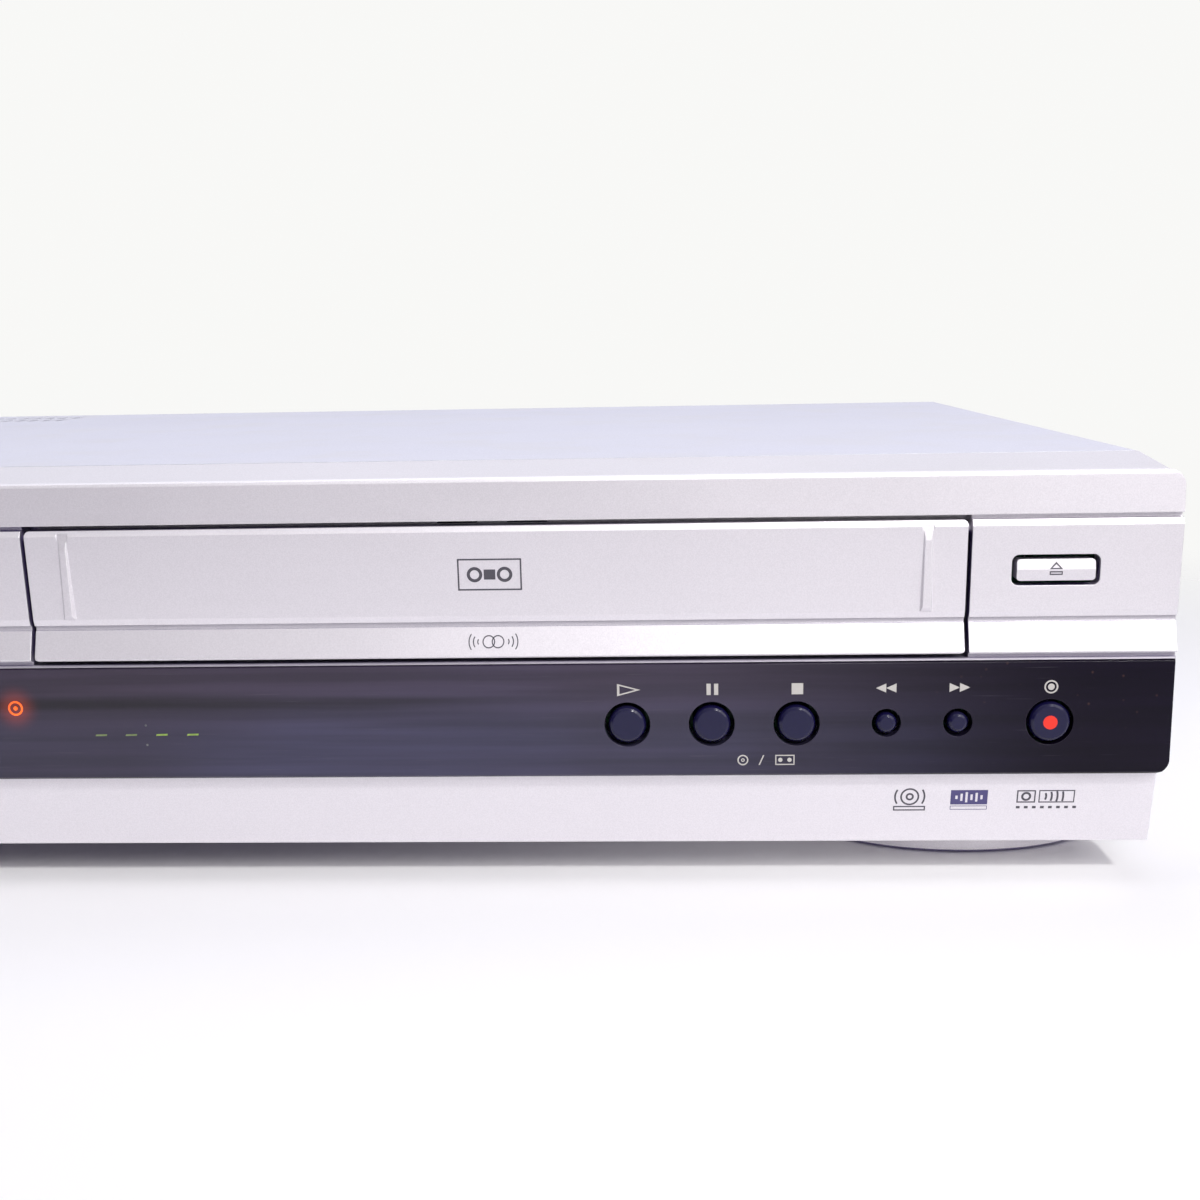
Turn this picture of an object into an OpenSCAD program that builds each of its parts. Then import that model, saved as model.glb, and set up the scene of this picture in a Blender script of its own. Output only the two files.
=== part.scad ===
// Disc player and cassette deck in one low housing.
// Units are millimetres.  +X is the right-hand side seen from the front, -Y is the front,
// +Z is up.  The origin is on the resting plane, under the middle of the housing.

/* [Housing] */
// Width across the front panel
body_w = 430; // [428:0.5:436]
// Depth from the front strip to the ends of the aerial connectors
body_d = 265; // [264:0.5:270]
// Height from the resting plane to the top of the cover
body_h = 99.5; // [99.5:0.1:101]
// Height of the feet
foot_h = 9.6; // [9:0.1:10]
// Sheet thickness of the steel cover, pan and rear panel
sheet_t = 1; // [0.8:0.1:1.2]
// Wall thickness of the moulded front panel
wall_t = 2.4; // [2:0.1:2.6]

/* [Front panel] */
// Thickness of the smoked window
window_t = 3; // [2.5:0.1:3.2]
// Height of the bottom edge of the window
window_z0 = 27.8; // [27:0.1:29]
// Height of the top edge of the window
window_z1 = 54.6; // [54:0.1:54.8]
// Height of the row of buttons in the window
button_z = 40.2; // [39:0.1:42]
// Radius of the holes for the large buttons
hole_r = 5.25; // [5:0.05:5.5]
// Radius of the large buttons
button_r = 4.25; // [4:0.05:4.5]
// Travel of every button
button_travel = 0.8; // [0.5:0.1:0.8]

/* [Cassette deck] */
// Centre line of the cassette deck
deck_x = 62; // [61:0.5:63]
// Width of the cassette door
door_w = 212.2; // [211:0.1:212.4]
// Width of a cassette
cassette_w = 188; // [187:0.5:189]
// Depth of a cassette
cassette_d = 104; // [103:0.5:104]
// Travel of the cassette basket into the machine
basket_in = 40; // [36:1:42]
// Travel of the cassette basket down to the deck
basket_down = 18; // [16:0.5:18]
// Radius of the head drum
drum_r = 31; // [30:0.1:31]
// Lean of the head drum
drum_tilt = 6; // [5:0.5:6.5]
// Distance between the two reel tables
reel_pitch = 91.4; // [91:0.1:92]

/* [Disc drive] */
// Centre line of the disc drive
drive_x = -119; // [-120:0.5:-118]
// Width of the tray's front bezel
bezel_w = 132; // [130:0.5:132]
// Width of the disc tray
tray_w = 128; // [127:0.5:128]
// Radius of the disc recess
disc_r = 60.5; // [60.2:0.1:61]
// Travel of the tray
tray_travel = 135; // [130:1:135]

/* [Hidden] */
$fn = 48;

// Finishes
silver = "#cdc7d2";
cover_silver = "#c3c3d0";
black_gloss = "#15131c";
steel = "#a9adb2";
dark_plastic = "#2b2b30";
grey_plastic = "#5b5d62";
board_green = "#2f6a45";
brass = "#b79a52";
copper = "#9c6a3c";
rubber = "#1c1c1c";
cream = "#d8d3c4";

// Reference planes
half_w = body_w / 2;
front_y = -body_d / 2;
rear_y = body_d / 2;
panel_y = rear_y - 10;              // outer face of the rear panel
cover_w2 = half_w - 1.7;            // half-width over the cover
cover_front_y = front_y + 21.5;
cover_rear_y = panel_y + 1.9;
pan_w2 = half_w - 4;
pan_front_y = front_y + 12.5;
pan_rear_y = panel_y - sheet_t;
floor_z = foot_h + sheet_t;         // inside floor of the pan
run = 0.05;                         // radial running clearance of a shaft
gap = 0.3;                          // clearance between parts that pass each other
eps = 0.01;                         // overshoot of a cut

// Front profile: [depth behind the foremost line, height], from the top down
brow_z1 = body_h - 0.1;
brow_z0 = 87.65;
face_z1 = 86.5;
sill_z = 55.2;                      // top of the ledge over the window
lintel_z = 85.9;                    // bottom of the wall over the cassette door
lintel_y = 6.4;                     // its depth behind the foremost line
// Top bevel, upper face, shoulder, groove and lower strip
face_front = [[1, face_z1], [0.35, 85.2], [1.2, 65.9], [1.65, 64.4], [2.3, 64.2], [2.3, 63.3], [2, 63.1],
              [0, 56.7], [0.3, 56.3]];
face_back = [[3, 56.3], [4.5, 63.2], [3.7, 66], [3, 84], [4.4, face_z1]];
function at_front(points) = [for (p = points) [front_y + p[0], p[1]]];

// Door and bezel
door_x0 = deck_x - door_w / 2;
door_x1 = deck_x + door_w / 2;
door_gap = 1.0;
door_axis = [front_y + 3.9, 84.4];
door_pin_r = 1.2;
lug_w = 4.5;                        // width of the lugs that hold the door pins
bezel_x0 = drive_x - bezel_w / 2;
bezel_x1 = drive_x + bezel_w / 2;
bezel_z0 = 66.4;
rib_inset = 8.7;                    // from each end of the door to its finger rib
rib_w2 = 0.68;                      // half-width of the rib's face
bezel_gap = 0.5;

// Buttons: [x of the centre, radius of the hole, radius of the button]
transport = [
    [92.2, hole_r, button_r], [111.5, hole_r, button_r], [130.8, hole_r, button_r],
    [151.1, hole_r - 1.95, button_r - 1.9], [167.2, hole_r - 1.95, button_r - 1.9],
    [187.8, hole_r + 0.1, button_r + 0.35],
];
power_x = -199.5;
key_w = 17.25;
key_h = 4.8;
key_z = 75.1;
eject_x = 187.7;
open_close_x = -198;
key_rim = 1.1;
board_y = front_y + 12.9;           // front face of the front circuit board
board_t = 1.6;
switch_y = board_y - 3;             // front of the switch bodies

// Front sockets
front_jack_x = [-178, -164, -150];
jack_r = 4.15;

// ---------------------------------------------------------------- helpers

// Extrudes a [y, z] outline from x0 to x1
module along_x(x0, x1) {
    translate([x0, 0, 0]) rotate([90, 0, 90]) linear_extrude(x1 - x0) children();
}

// Extrudes an [x, z] outline from y0 to y1
module along_y(y0, y1) {
    translate([0, y1, 0]) rotate([90, 0, 0]) linear_extrude(y1 - y0) children();
}

// A box between two corners
module block(x0, x1, y0, y1, z0, z1) {
    translate([x0, y0, z0]) cube([x1 - x0, y1 - y0, z1 - z0]);
}

// A cylinder along Y from y0 to y1
module rod_y(x, z, r, y0, y1) {
    translate([x, y0, z]) rotate([-90, 0, 0]) cylinder(r = r, h = y1 - y0);
}

// A cylinder along X from x0 to x1
module rod_x(y, z, r, x0, x1) {
    translate([x0, y, z]) rotate([0, 90, 0]) cylinder(r = r, h = x1 - x0);
}

// A cylinder along Z from z0 to z1
module rod_z(x, y, r, z0, z1) {
    translate([x, y, z0]) cylinder(r = r, h = z1 - z0);
}

// A rectangle w by h about the origin with corners of radius r
module round_rect(w, h, r) {
    square([w - 2 * r, h], center = true);
    square([w, h - 2 * r], center = true);
    for (sx = [-1, 1], sy = [-1, 1]) translate([sx * (w / 2 - r), sy * (h / 2 - r)]) circle(r);
}

// Outline of a slot of half-width r between two points
function slot_outline(a, b, r) = let (turn = atan2(b[1] - a[1], b[0] - a[0]), n = 16) concat(
    [for (i = [0 : n]) let (t = turn - 90 + 180 * i / n) b + r * [cos(t), sin(t)]],
    [for (i = [0 : n]) let (t = turn + 90 + 180 * i / n) a + r * [cos(t), sin(t)]]);

// A slot along Z between two points of the plan
module slot_z(a, b, r, z0, z1) {
    translate([0, 0, z0]) linear_extrude(z1 - z0) polygon(slot_outline(a, b, r));
}

// Point of an involute of base radius rb at radius r
function involute_angle(rb, r) = let (t = sqrt(max(0, (r / rb) * (r / rb) - 1))) t * 180 / PI - atan(t);

// Involute spur gear outline; backlash thins each tooth at the pitch circle
module gear_2d(teeth, pitch, backlash) {
    rp = teeth * pitch / 2;
    rb = rp * cos(20);
    ra = rp + pitch * 0.9;
    rd = rp - pitch * 1.2;
    half = 90 / teeth - backlash / 2 / rp * 180 / PI + involute_angle(rb, rp);
    steps = 5;
    r0 = max(rb, rd);
    flank = [for (i = [0 : steps]) let (r = r0 + (ra - r0) * i / steps) [r, half - involute_angle(rb, r)]];
    polygon([for (k = [0 : teeth - 1]) let (a = 360 * k / teeth) each concat(
        [[rd * cos(a - half), rd * sin(a - half)]],
        [for (p = flank) [p[0] * cos(a - p[1]), p[0] * sin(a - p[1])]],
        [for (i = [steps : -1 : 0]) let (p = flank[i]) [p[0] * cos(a + p[1]), p[0] * sin(a + p[1])]],
        [[rd * cos(a + half), rd * sin(a + half)]])]);
}

// Rack outline along Y with its teeth towards +X and its pitch line on x = 0;
// a tooth space is centred on y = 0
module rack_2d(y0, y1, pitch, body, backlash) {
    step = PI * pitch;
    root = -1.2 * pitch;
    tip = 0.9 * pitch;
    half = step / 4 - backlash / 2;
    first = ceil(y0 / step);
    last = floor(y1 / step) - 1;
    polygon(concat([[root - body, y0], [root, y0]],
        [for (k = [first : last]) let (c = (k + 0.5) * step) each [
            [root, c - half + root * tan(20)], [tip, c - half + tip * tan(20)],
            [tip, c + half - tip * tan(20)], [root, c + half - root * tan(20)]]],
        [[root, y1], [root - body, y1]]));
}

// ---------------------------------------------------------------- front panel

// Outline in plan that narrows the brow towards the cover, with the lip that goes under it
module brow_plan() {
    seam_y = cover_front_y - gap;
    lip_w2 = cover_w2 - 2.6;
    polygon([[-half_w, front_y - 1], [half_w, front_y - 1], [half_w, front_y + 6], [cover_w2 + 0.1, seam_y],
             [lip_w2, seam_y], [lip_w2, front_y + 30], [-lip_w2, front_y + 30], [-lip_w2, seam_y],
             [-cover_w2 - 0.1, seam_y], [-half_w, front_y + 6]]);
}

// Outline from the front that rounds the ends of the brow
module brow_ends() {
    corner = 3.7;
    top = body_h - 2.4;
    along_y(front_y - 2, front_y + 32) {
        translate([-half_w - 1, brow_z0 - 2]) square([2 * half_w + 2, top - corner - brow_z0 + 2]);
        translate([corner - half_w, brow_z0 - 2]) square([2 * (half_w - corner), 20]);
        for (s = [-1, 1]) translate([s * (half_w - corner), top - corner]) circle(corner);
    }
}

module brow() {
    lip_y = cover_front_y + 5;
    seam_y = cover_front_y - gap;
    intersection() {
        along_x(-half_w, half_w) polygon([
            [seam_y, brow_z1], [front_y + 1.9, body_h - 2.2], [front_y + 1.2, body_h - 2.5],
            [front_y + 0.9, body_h - 3.2], [front_y + 0.6, brow_z0], [front_y + 0.6 + wall_t, brow_z0],
            [front_y + 0.9 + wall_t, body_h - 4.9], [seam_y, brow_z1 - 2.2],
            [lip_y, brow_z1 - 2.2], [lip_y, body_h - sheet_t - 0.2], [seam_y, body_h - sheet_t - 0.2]]);
        translate([0, 0, brow_z0 - 1]) linear_extrude(20) brow_plan();
        brow_ends();
    }
}

// The face above the window, with its shallow crease
module upper_face() {
    along_x(-half_w, half_w) polygon(at_front(concat(
        [[1.9, brow_z0 + 0.6], [1.9, face_z1 + 0.2]], face_front,
        [[1.3, 56.1], [1.3, sill_z + 0.1], [0.9, sill_z], [0.6, sill_z - 0.3], [0.6, window_z1 + 0.1], [3.7, window_z1 + 0.1],
         [3.7, window_z1 - 1], [6.1, window_z1 - 1], [6.1, sill_z + 1], [4.8, 63.2], [4.1, 66], [5.1, brow_z0 + 0.6]])));
}

// The wall behind the window and the strip below it
module lower_face() {
    w2 = cover_w2 + 0.1;
    along_x(-w2, w2) polygon(at_front([
        [3.7, window_z1], [3.7, window_z0 - 0.2], [7, foot_h], [11.9, foot_h], [11.9, foot_h + 1.6],
        [9.2, foot_h + 2.2], [6.1, window_z0 - 0.2], [6.1, window_z1]]));
}

// The end walls that meet the sides of the cover
module end_walls() {
    w2 = cover_w2 + 0.1;
    back = cover_front_y - gap - front_y;
    for (s = [-1, 1]) along_x(s > 0 ? w2 - wall_t : -w2, s > 0 ? w2 : -w2 + wall_t)
        polygon(at_front([[7, foot_h], [3.7, window_z0], [3.7, brow_z0], [2, brow_z0 + 2], [2, 95.5],
            [back, brow_z1 - 2], [back, foot_h]]));
}

// Way through for a cassette, and the channel over the door that its top edge turns in
module door_opening() {
    x0 = door_x0 - door_gap;
    x1 = door_x1 + door_gap;
    block(x0, x1, front_y - 1, front_y + 12, sill_z + 0.05, lintel_z);
    block(x0, x1, front_y - 1, front_y + lintel_y, lintel_z - 1, brow_z0);
}

// Wall that closes the channel over the door, with two slots for the fingers of the lid lifter
module lintel() {
    difference() {
        along_x(door_x0 - door_gap - 1, door_x1 + door_gap + 1) polygon(at_front([
            [4, brow_z0], [lintel_y, brow_z0], [lintel_y, lintel_z], [lintel_y + 1.8, lintel_z],
            [lintel_y + 1.8, brow_z0 + 1.4], [4, brow_z0 + 1.4]]));
        for (x = [53.9, 69.9]) block(x - 4.6, x + 4.6, front_y + lintel_y - 1, front_y + lintel_y + 3, 86.5, 87.2);
    }
}

module bezel_opening() {
    block(bezel_x0 - bezel_gap, bezel_x1 + bezel_gap, front_y - 1, front_y + 12, bezel_z0 - bezel_gap, face_z1 + 0.45);
}

// Lugs behind the face that carry the pins of the cassette door
module door_lugs() {
    for (s = [-1, 1]) {
        inner = deck_x + s * (door_w / 2 + door_gap);
        along_x(s > 0 ? inner : inner - lug_w, s > 0 ? inner + lug_w : inner)
            polygon(at_front([[2.2, 80], [2.2, 88.5], [8.2, 88.5], [8.2, 82]]));
    }
    // stop bead in the gap beside the door
    rod_y(door_x1 + door_gap, 73.4, 0.6, front_y + 1.3, front_y + 4);
}

// Ribs that stiffen the back of the lower face
module stiffeners() {
    for (x = [-140, -100, 74, 120, 160]) along_x(x - 0.6, x + 0.6) polygon(at_front([
        [7.8, foot_h + 2], [5.6, window_z0 - 1], [8.6, window_z0 - 1], [9.6, foot_h + 2]]));
}

// Bosses that the circuit boards behind the panel are screwed to
module board_bosses() {
    for (x = [-190, -100, 68, 142, 203], z = [26, 51]) rod_y(x, z, 2.4, front_y + 6, board_y);
    for (x = [eject_x - 10.5, eject_x + 10.5, open_close_x - 4.5, open_close_x + 4.5]) rod_y(x, 67.5, 1.4, front_y + 4, board_y);
}

// Ramp behind the sill that leads a cassette up on to the basket, under the sweep of the door
module sill_ramp() {
    along_x(door_x0 - door_gap, door_x1 + door_gap)
        polygon(at_front([[5.5, sill_z - 1], [5.5, sill_z + 0.05], [11.8, 56.1], [11.8, 55.1], [7, sill_z - 1]]));
}

module front_panel() color(silver) {
    sill_ramp();
    front_shell();
}

module front_shell() difference() {
    union() {
        brow();
        upper_face();
        lower_face();
        end_walls();
        door_lugs();
        lintel();
        board_bosses();
        stiffeners();
    }
    door_opening();
    bezel_opening();
    rod_x(door_axis[0], door_axis[1], door_pin_r + run, door_x0 - door_gap - 3, door_x1 + door_gap + lug_w + 1);
    // pocket for the spring of the door
    rod_x(door_axis[0], door_axis[1], spring_r + 0.2, spring_x, spring_x + 5.5);
    block(spring_x, spring_x + 5.5, door_axis[0], front_y + 12, door_axis[1] - 2.6, door_axis[1] + 2.6);
    for (x = [eject_x, open_close_x]) translate([x, 0, key_z])
        along_y(front_y - 1, front_y + 12) round_rect(key_w + 2 * key_rim, key_h + 2 * key_rim, 1.6);
    for (b = transport) rod_y(b[0], button_z, b[1], front_y + 3, front_y + 12);
    rod_y(power_x, button_z, hole_r + 0.1, front_y + 3, front_y + 12);
    for (x = front_jack_x) rod_y(x, button_z, jack_r + 2.6, front_y + 3, front_y + 12);
    block(-74, 59, front_y + 3, front_y + 7, 34, 50.5);
}

module window_panel() color(black_gloss) {
    corner = 3.3;
    mid_z = (window_z0 + window_z1) / 2;
    difference() {
        intersection() {
            along_x(-half_w, half_w) polygon(at_front([
                [1.1, window_z1], [0.7, window_z1 - 0.4], [0.7, window_z0 + 0.5], [1.2, window_z0],
                [0.7 + window_t, window_z0], [0.7 + window_t, window_z1]]));
            along_y(front_y, front_y + 6) union() {
                translate([0, mid_z]) round_rect(2 * half_w, window_z1 - window_z0, corner);
                translate([-half_w, mid_z]) square([2 * half_w, window_z1 - mid_z + 1]);
            }
        }
        for (b = transport) rod_y(b[0], button_z, b[1], front_y - 1, front_y + 5);
        rod_y(power_x, button_z, hole_r + 0.1, front_y - 1, front_y + 5);
        for (x = front_jack_x) rod_y(x, button_z, jack_r + 2.6, front_y - 1, front_y + 5);
    }
}

// ---------------------------------------------------------------- cassette door

// A plate with the front profile between two ends and two heights, its corners rounded
module face_plate(x0, x1, z0, r) {
    intersection() {
        along_x(x0, x1) polygon(at_front(concat(face_front, face_back)));
        translate([(x0 + x1) / 2, 0, (z0 + face_z1) / 2])
            along_y(front_y - 1, front_y + 9) round_rect(x1 - x0, face_z1 - z0, r);
    }
}

// Raised finger rib: a narrow face that stands further out towards its foot, on sloping flanks
module finger_rib(x) {
    flank = 1.5;
    intersection() {
        along_x(x - 4, x + 4) polygon(at_front([[2.4, 86], [0.05, 86], [0.05, 82], [0.3, 67], [0.95, 66], [2.4, 66]]));
        linear_extrude(100) polygon([[x - rib_w2, front_y - 1], [x + rib_w2, front_y - 1], [x + rib_w2, front_y],
            [x + rib_w2 + flank, front_y + 2.5], [x - rib_w2 - flank, front_y + 2.5], [x - rib_w2, front_y]]);
    }
}

module cassette_door() color(silver) {
    ribs = [door_x0 + rib_inset, door_x1 - rib_inset];
    difference() {
        union() {
            face_plate(door_x0, door_x1, 56.3, 1);
            for (x = ribs) finger_rib(x);
            // end cheeks that carry the pins
            for (x = [door_x0, door_x1 - 1.6]) along_x(x, x + 1.6) polygon([
                [door_axis[0] - 1, 85.9], [door_axis[0] + 1.6, 85.5], [door_axis[0] + 1.9, 83.4],
                [door_axis[0] + 1, 81.8], [door_axis[0] + 1, 60], [front_y + 3, 60], [front_y + 2.6, 80]]);
            rod_x(door_axis[0], door_axis[1], door_pin_r, door_x0 - door_gap - 2, door_x0 + 2);
            rod_x(door_axis[0], door_axis[1], door_pin_r, door_x1 - 2, spring_x + 4.5);
        }
        // slopes that run up the heads of the ribs into the top bevel
        for (x = ribs) along_x(x - rib_w2 - 0.6, x + rib_w2 + 0.6)
            polygon(at_front([[-1, 87], [0.9, 87], [0.02, 82], [-1, 82]]));
    }
}

// Torsion spring round the right-hand pin of the door
spring_wire_r = 0.35;
spring_r = 2.25;                    // outer radius of the coil
spring_x = door_x1 + door_gap + lug_w;

module door_spring() color(steel) {
    turns = 5;
    coil_r = spring_r - spring_wire_r;
    pitch = 2 * spring_wire_r - 0.04;
    translate([spring_x, door_axis[0], door_axis[1]]) rotate([0, 90, 0]) rotate_extrude($fn = 32)
        for (i = [0 : turns - 1]) translate([coil_r, spring_wire_r + i * pitch]) circle(spring_wire_r, $fn = 16);
    leg_r = spring_wire_r * 0.9;
    rod_z(spring_x + spring_wire_r, door_axis[0] + coil_r, leg_r, door_axis[1] - 9, door_axis[1]);
    rod_y(spring_x + spring_wire_r + (turns - 1) * pitch, door_axis[1] + coil_r, leg_r, door_axis[0], door_axis[0] + 9);
}

// ---------------------------------------------------------------- housing

module cover_profile() {
    r = 3;
    t = sheet_t;
    bottom = floor_z + 0.2;
    difference() {
        union() {
            translate([-cover_w2, bottom]) square([2 * cover_w2, body_h - r - bottom]);
            translate([-cover_w2 + r, body_h - r - 1]) square([2 * (cover_w2 - r), r + 1]);
            for (s = [-1, 1]) translate([s * (cover_w2 - r), body_h - r]) circle(r);
        }
        translate([-cover_w2 + t, bottom - 1]) square([2 * (cover_w2 - t), body_h - r - bottom + 1]);
        translate([-cover_w2 + r, body_h - r - 1]) square([2 * (cover_w2 - r), r + 1 - t]);
        for (s = [-1, 1]) translate([s * (cover_w2 - r), body_h - r]) circle(r - t);
    }
}

cover_screw_y = [-70, 70];
cover_screw_z = 19;
rear_screw_x = [-150, 30, 190];
rear_screw_z = 90;

module top_cover() color(cover_silver) difference() {
    union() {
        along_y(cover_front_y, cover_rear_y) cover_profile();
        // lugs turned down behind the rear panel's top edge
        for (x = rear_screw_x) block(x - 9, x + 9, panel_y + gap, panel_y + gap + sheet_t, rear_screw_z - 5, body_h - 0.5);
    }
    // vents over the power supply
    for (i = [0 : 13], j = [0, 1]) translate([-198 + i * 5.2, 92 + j * 15, body_h - 3])
        linear_extrude(5) round_rect(2.4, 11, 1.1);
    // vents in both sides
    for (s = [-1, 1], i = [0 : 9]) translate([s * cover_w2, 30 + i * 7, 52]) rotate([90, 0, 90])
        linear_extrude(6, center = true) round_rect(2.6, 30, 1.2);
    for (s = [-1, 1], y = cover_screw_y) rod_x(y, cover_screw_z, 1.7, s > 0 ? cover_w2 - 3 : -cover_w2 - 3,
                                               s > 0 ? cover_w2 + 3 : -cover_w2 + 3);
    for (x = rear_screw_x) rod_y(x, rear_screw_z, 1.7, panel_y, panel_y + 4);
}

// Screws of the cover: two in each side and three at the back
module cover_screws() color(steel) {
    for (s = [-1, 1], y = cover_screw_y) translate([s * cover_w2, y, cover_screw_z]) rotate([0, s * 90, 0]) screw();
    for (x = rear_screw_x) translate([x, panel_y + gap + sheet_t, rear_screw_z]) rotate([-90, 0, 0]) screw();
}

// Pan-head screw with a cross recess, its head on z = 0
module screw() {
    difference() {
        union() {
            rotate_extrude() polygon([[0, 0], [3.4, 0], [3.4, 0.7], [2.6, 1.3], [0, 1.5]]);
            translate([0, 0, -6]) cylinder(r = 1.5, h = 6 + eps);
        }
        for (a = [0, 90]) rotate([0, 0, a]) translate([-1.7, -0.35, 0.6]) cube([3.4, 0.7, 2]);
    }
}

// Towers on the pan: [x, y, top height]
deck_top_z = 26.6;
deck_bottom_z = 25;
deck_tower = [[-32, -88], [156, -88], [-32, 104], [156, 104]];
pcb_z = 15;
board_tower = [[-112, -104], [-52, -104], [-112, 60], [-52, 60], [-200, -45], [-130, -45], [-200, 106], [-130, 106]];
foot_x = 174;
front_foot_y = -87;
rear_foot_y = 96;

module chassis_base() color(steel) difference() {
    union() {
        block(-pan_w2, pan_w2, pan_front_y, pan_rear_y, foot_h, floor_z);
        for (s = [-1, 1]) block(s > 0 ? pan_w2 - sheet_t : -pan_w2, s > 0 ? pan_w2 : -pan_w2 + sheet_t,
                                pan_front_y + 10, pan_rear_y, foot_h, 26);
        block(-pan_w2, pan_w2, pan_front_y, pan_front_y + sheet_t, foot_h, 19);
        for (p = deck_tower) rod_z(p[0], p[1], 4, foot_h, deck_bottom_z);
        for (p = board_tower) rod_z(p[0], p[1], 3, foot_h, pcb_z);
        // stiffening swages
        for (y = [-30, 30]) block(-30, 150, y - 3, y + 3, foot_h, floor_z + 1.2);
    }
    for (p = deck_tower) rod_z(p[0], p[1], 1.4, foot_h - 1, deck_bottom_z + 1);
    for (p = board_tower) rod_z(p[0], p[1], 1.2, foot_h - 1, pcb_z + 1);
    // vents under the power supply
    for (i = [0 : 9], j = [0, 1]) translate([-196 + i * 7, 20 + j * 34, foot_h - 1])
        linear_extrude(3) round_rect(3, 26, 1.4);
    for (s = [-1, 1], y = cover_screw_y) rod_x(y, cover_screw_z, 1.55, s > 0 ? pan_w2 - 3 : -pan_w2 - 3,
                                               s > 0 ? pan_w2 + 3 : -pan_w2 + 3);
    for (s = [-1, 1], y = [front_foot_y, rear_foot_y]) rod_z(s * foot_x, y, 1.7, foot_h - 1, floor_z + 1);
}

// Oval outline with half-axes a and b
module oval(a, b) {
    polygon([for (i = [0 : 71]) [a * cos(5 * i), b * sin(5 * i)]]);
}

// Moulded front foot with a trim step and a soft pad below
module front_feet() color(silver) for (s = [-1, 1]) translate([s * foot_x, front_foot_y, 0]) difference() {
    union() {
        linear_extrude(1.2) oval(31, 17.5);
        translate([0, 0, 1.2]) linear_extrude(0.8) oval(33, 19);
        translate([0, 0, 2]) linear_extrude(6.2) oval(35, 20);
        translate([0, 0, 8.2]) linear_extrude(foot_h - 8.2) oval(33.5, 18.8);
        translate([0, 0, foot_h - eps]) cylinder(r = 1.6, h = sheet_t + 2);
    }
    translate([0, 0, -1]) linear_extrude(3) oval(12, 8);
}

module rear_feet() color(rubber) for (s = [-1, 1]) translate([s * foot_x, rear_foot_y, 0]) {
    difference() {
        rotate_extrude() polygon([[0, 0], [11, 0], [12, 1], [13, foot_h], [0, foot_h]]);
        translate([0, 0, -1]) cylinder(r = 5, h = 4);
    }
    translate([0, 0, foot_h - eps]) cylinder(r = 1.6, h = sheet_t + 2);
}

// Rear sockets: columns and rows of round jacks
rear_jack_x = [-40, -26, -12, 2];
rear_jack_z = [36, 50, 64];
s_video = [16, 62];
optical = [16, 42];
aerial_x = [-96, -74];
aerial_z = 32;
aerial_r = 4.7;
gland = [-190, 34];
gland_r = 6;

module rear_panel() color(steel) difference() {
    union() {
        block(-pan_w2, pan_w2, panel_y - sheet_t, panel_y, foot_h, body_h - sheet_t - 0.15);
        block(-pan_w2 + 2, pan_w2 - 2, panel_y - 10, panel_y - sheet_t + eps, floor_z + 0.05, floor_z + 0.95);
    }
    for (x = rear_jack_x, z = rear_jack_z) rod_y(x, z, jack_r + 0.6, panel_y - 3, panel_y + 1);
    rod_y(s_video[0], s_video[1], 6, panel_y - 3, panel_y + 1);
    block(optical[0] - 5, optical[0] + 5, panel_y - 3, panel_y + 1, optical[1] - 5, optical[1] + 5);
    for (x = aerial_x) rod_y(x, aerial_z, aerial_r + 0.4, panel_y - 3, panel_y + 1);
    rod_y(gland[0], gland[1], gland_r + 0.05, panel_y - 3, panel_y + 1);
    for (x = rear_screw_x) rod_y(x, rear_screw_z, 1.55, panel_y - 3, panel_y + 1);
    // vents beside the power supply and behind the cassette deck
    for (i = [0 : 8], z = [56, 72]) translate([-196 + i * 6, 0, z]) along_y(panel_y - 3, panel_y + 1) round_rect(2.6, 12, 1.2);
    for (i = [0 : 8], z = [56, 72]) translate([110 + i * 6, 0, z]) along_y(panel_y - 3, panel_y + 1) round_rect(2.6, 12, 1.2);
}

// ---------------------------------------------------------------- disc drive

frame_x0 = drive_x - 71;
frame_x1 = drive_x + 71;
frame_y0 = front_y + 8.5;
frame_y1 = 62;
frame_z0 = 56;
frame_z1 = 88;
frame_t = 2.5;
tray_z0 = 71;
tray_z1 = 76;
tray_y0 = front_y + 5.9;
tray_y1 = 12;
tray_arm_y1 = 40;
disc_y = -62;
rack_module = 1;
rack_x = -172;
pinion_teeth = 18;
pinion = [rack_x + rack_module * pinion_teeth / 2, -106];
drive_module = 0.8;
wheel_teeth = 40;
small_teeth = 12;
pulley = [pinion[0] + drive_module * (wheel_teeth + small_teeth) / 2, pinion[1]];
motor = [pulley[0] + 30, pinion[1]];
gear_z0 = 61.5;
belt_z = 67.1;
pulley_groove_r = 9;
motor_groove_r = 2.6;
shaft_r = 1.5;
backlash = 0.24;

// Opening in the frame floor for the traverse
traverse_x0 = drive_x - 40;
traverse_x1 = drive_x + 40;
traverse_y0 = -80;
traverse_y1 = 48;
traverse_z0 = 60;
traverse_t = 1.6;
traverse_axis = [44, 61];

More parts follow.
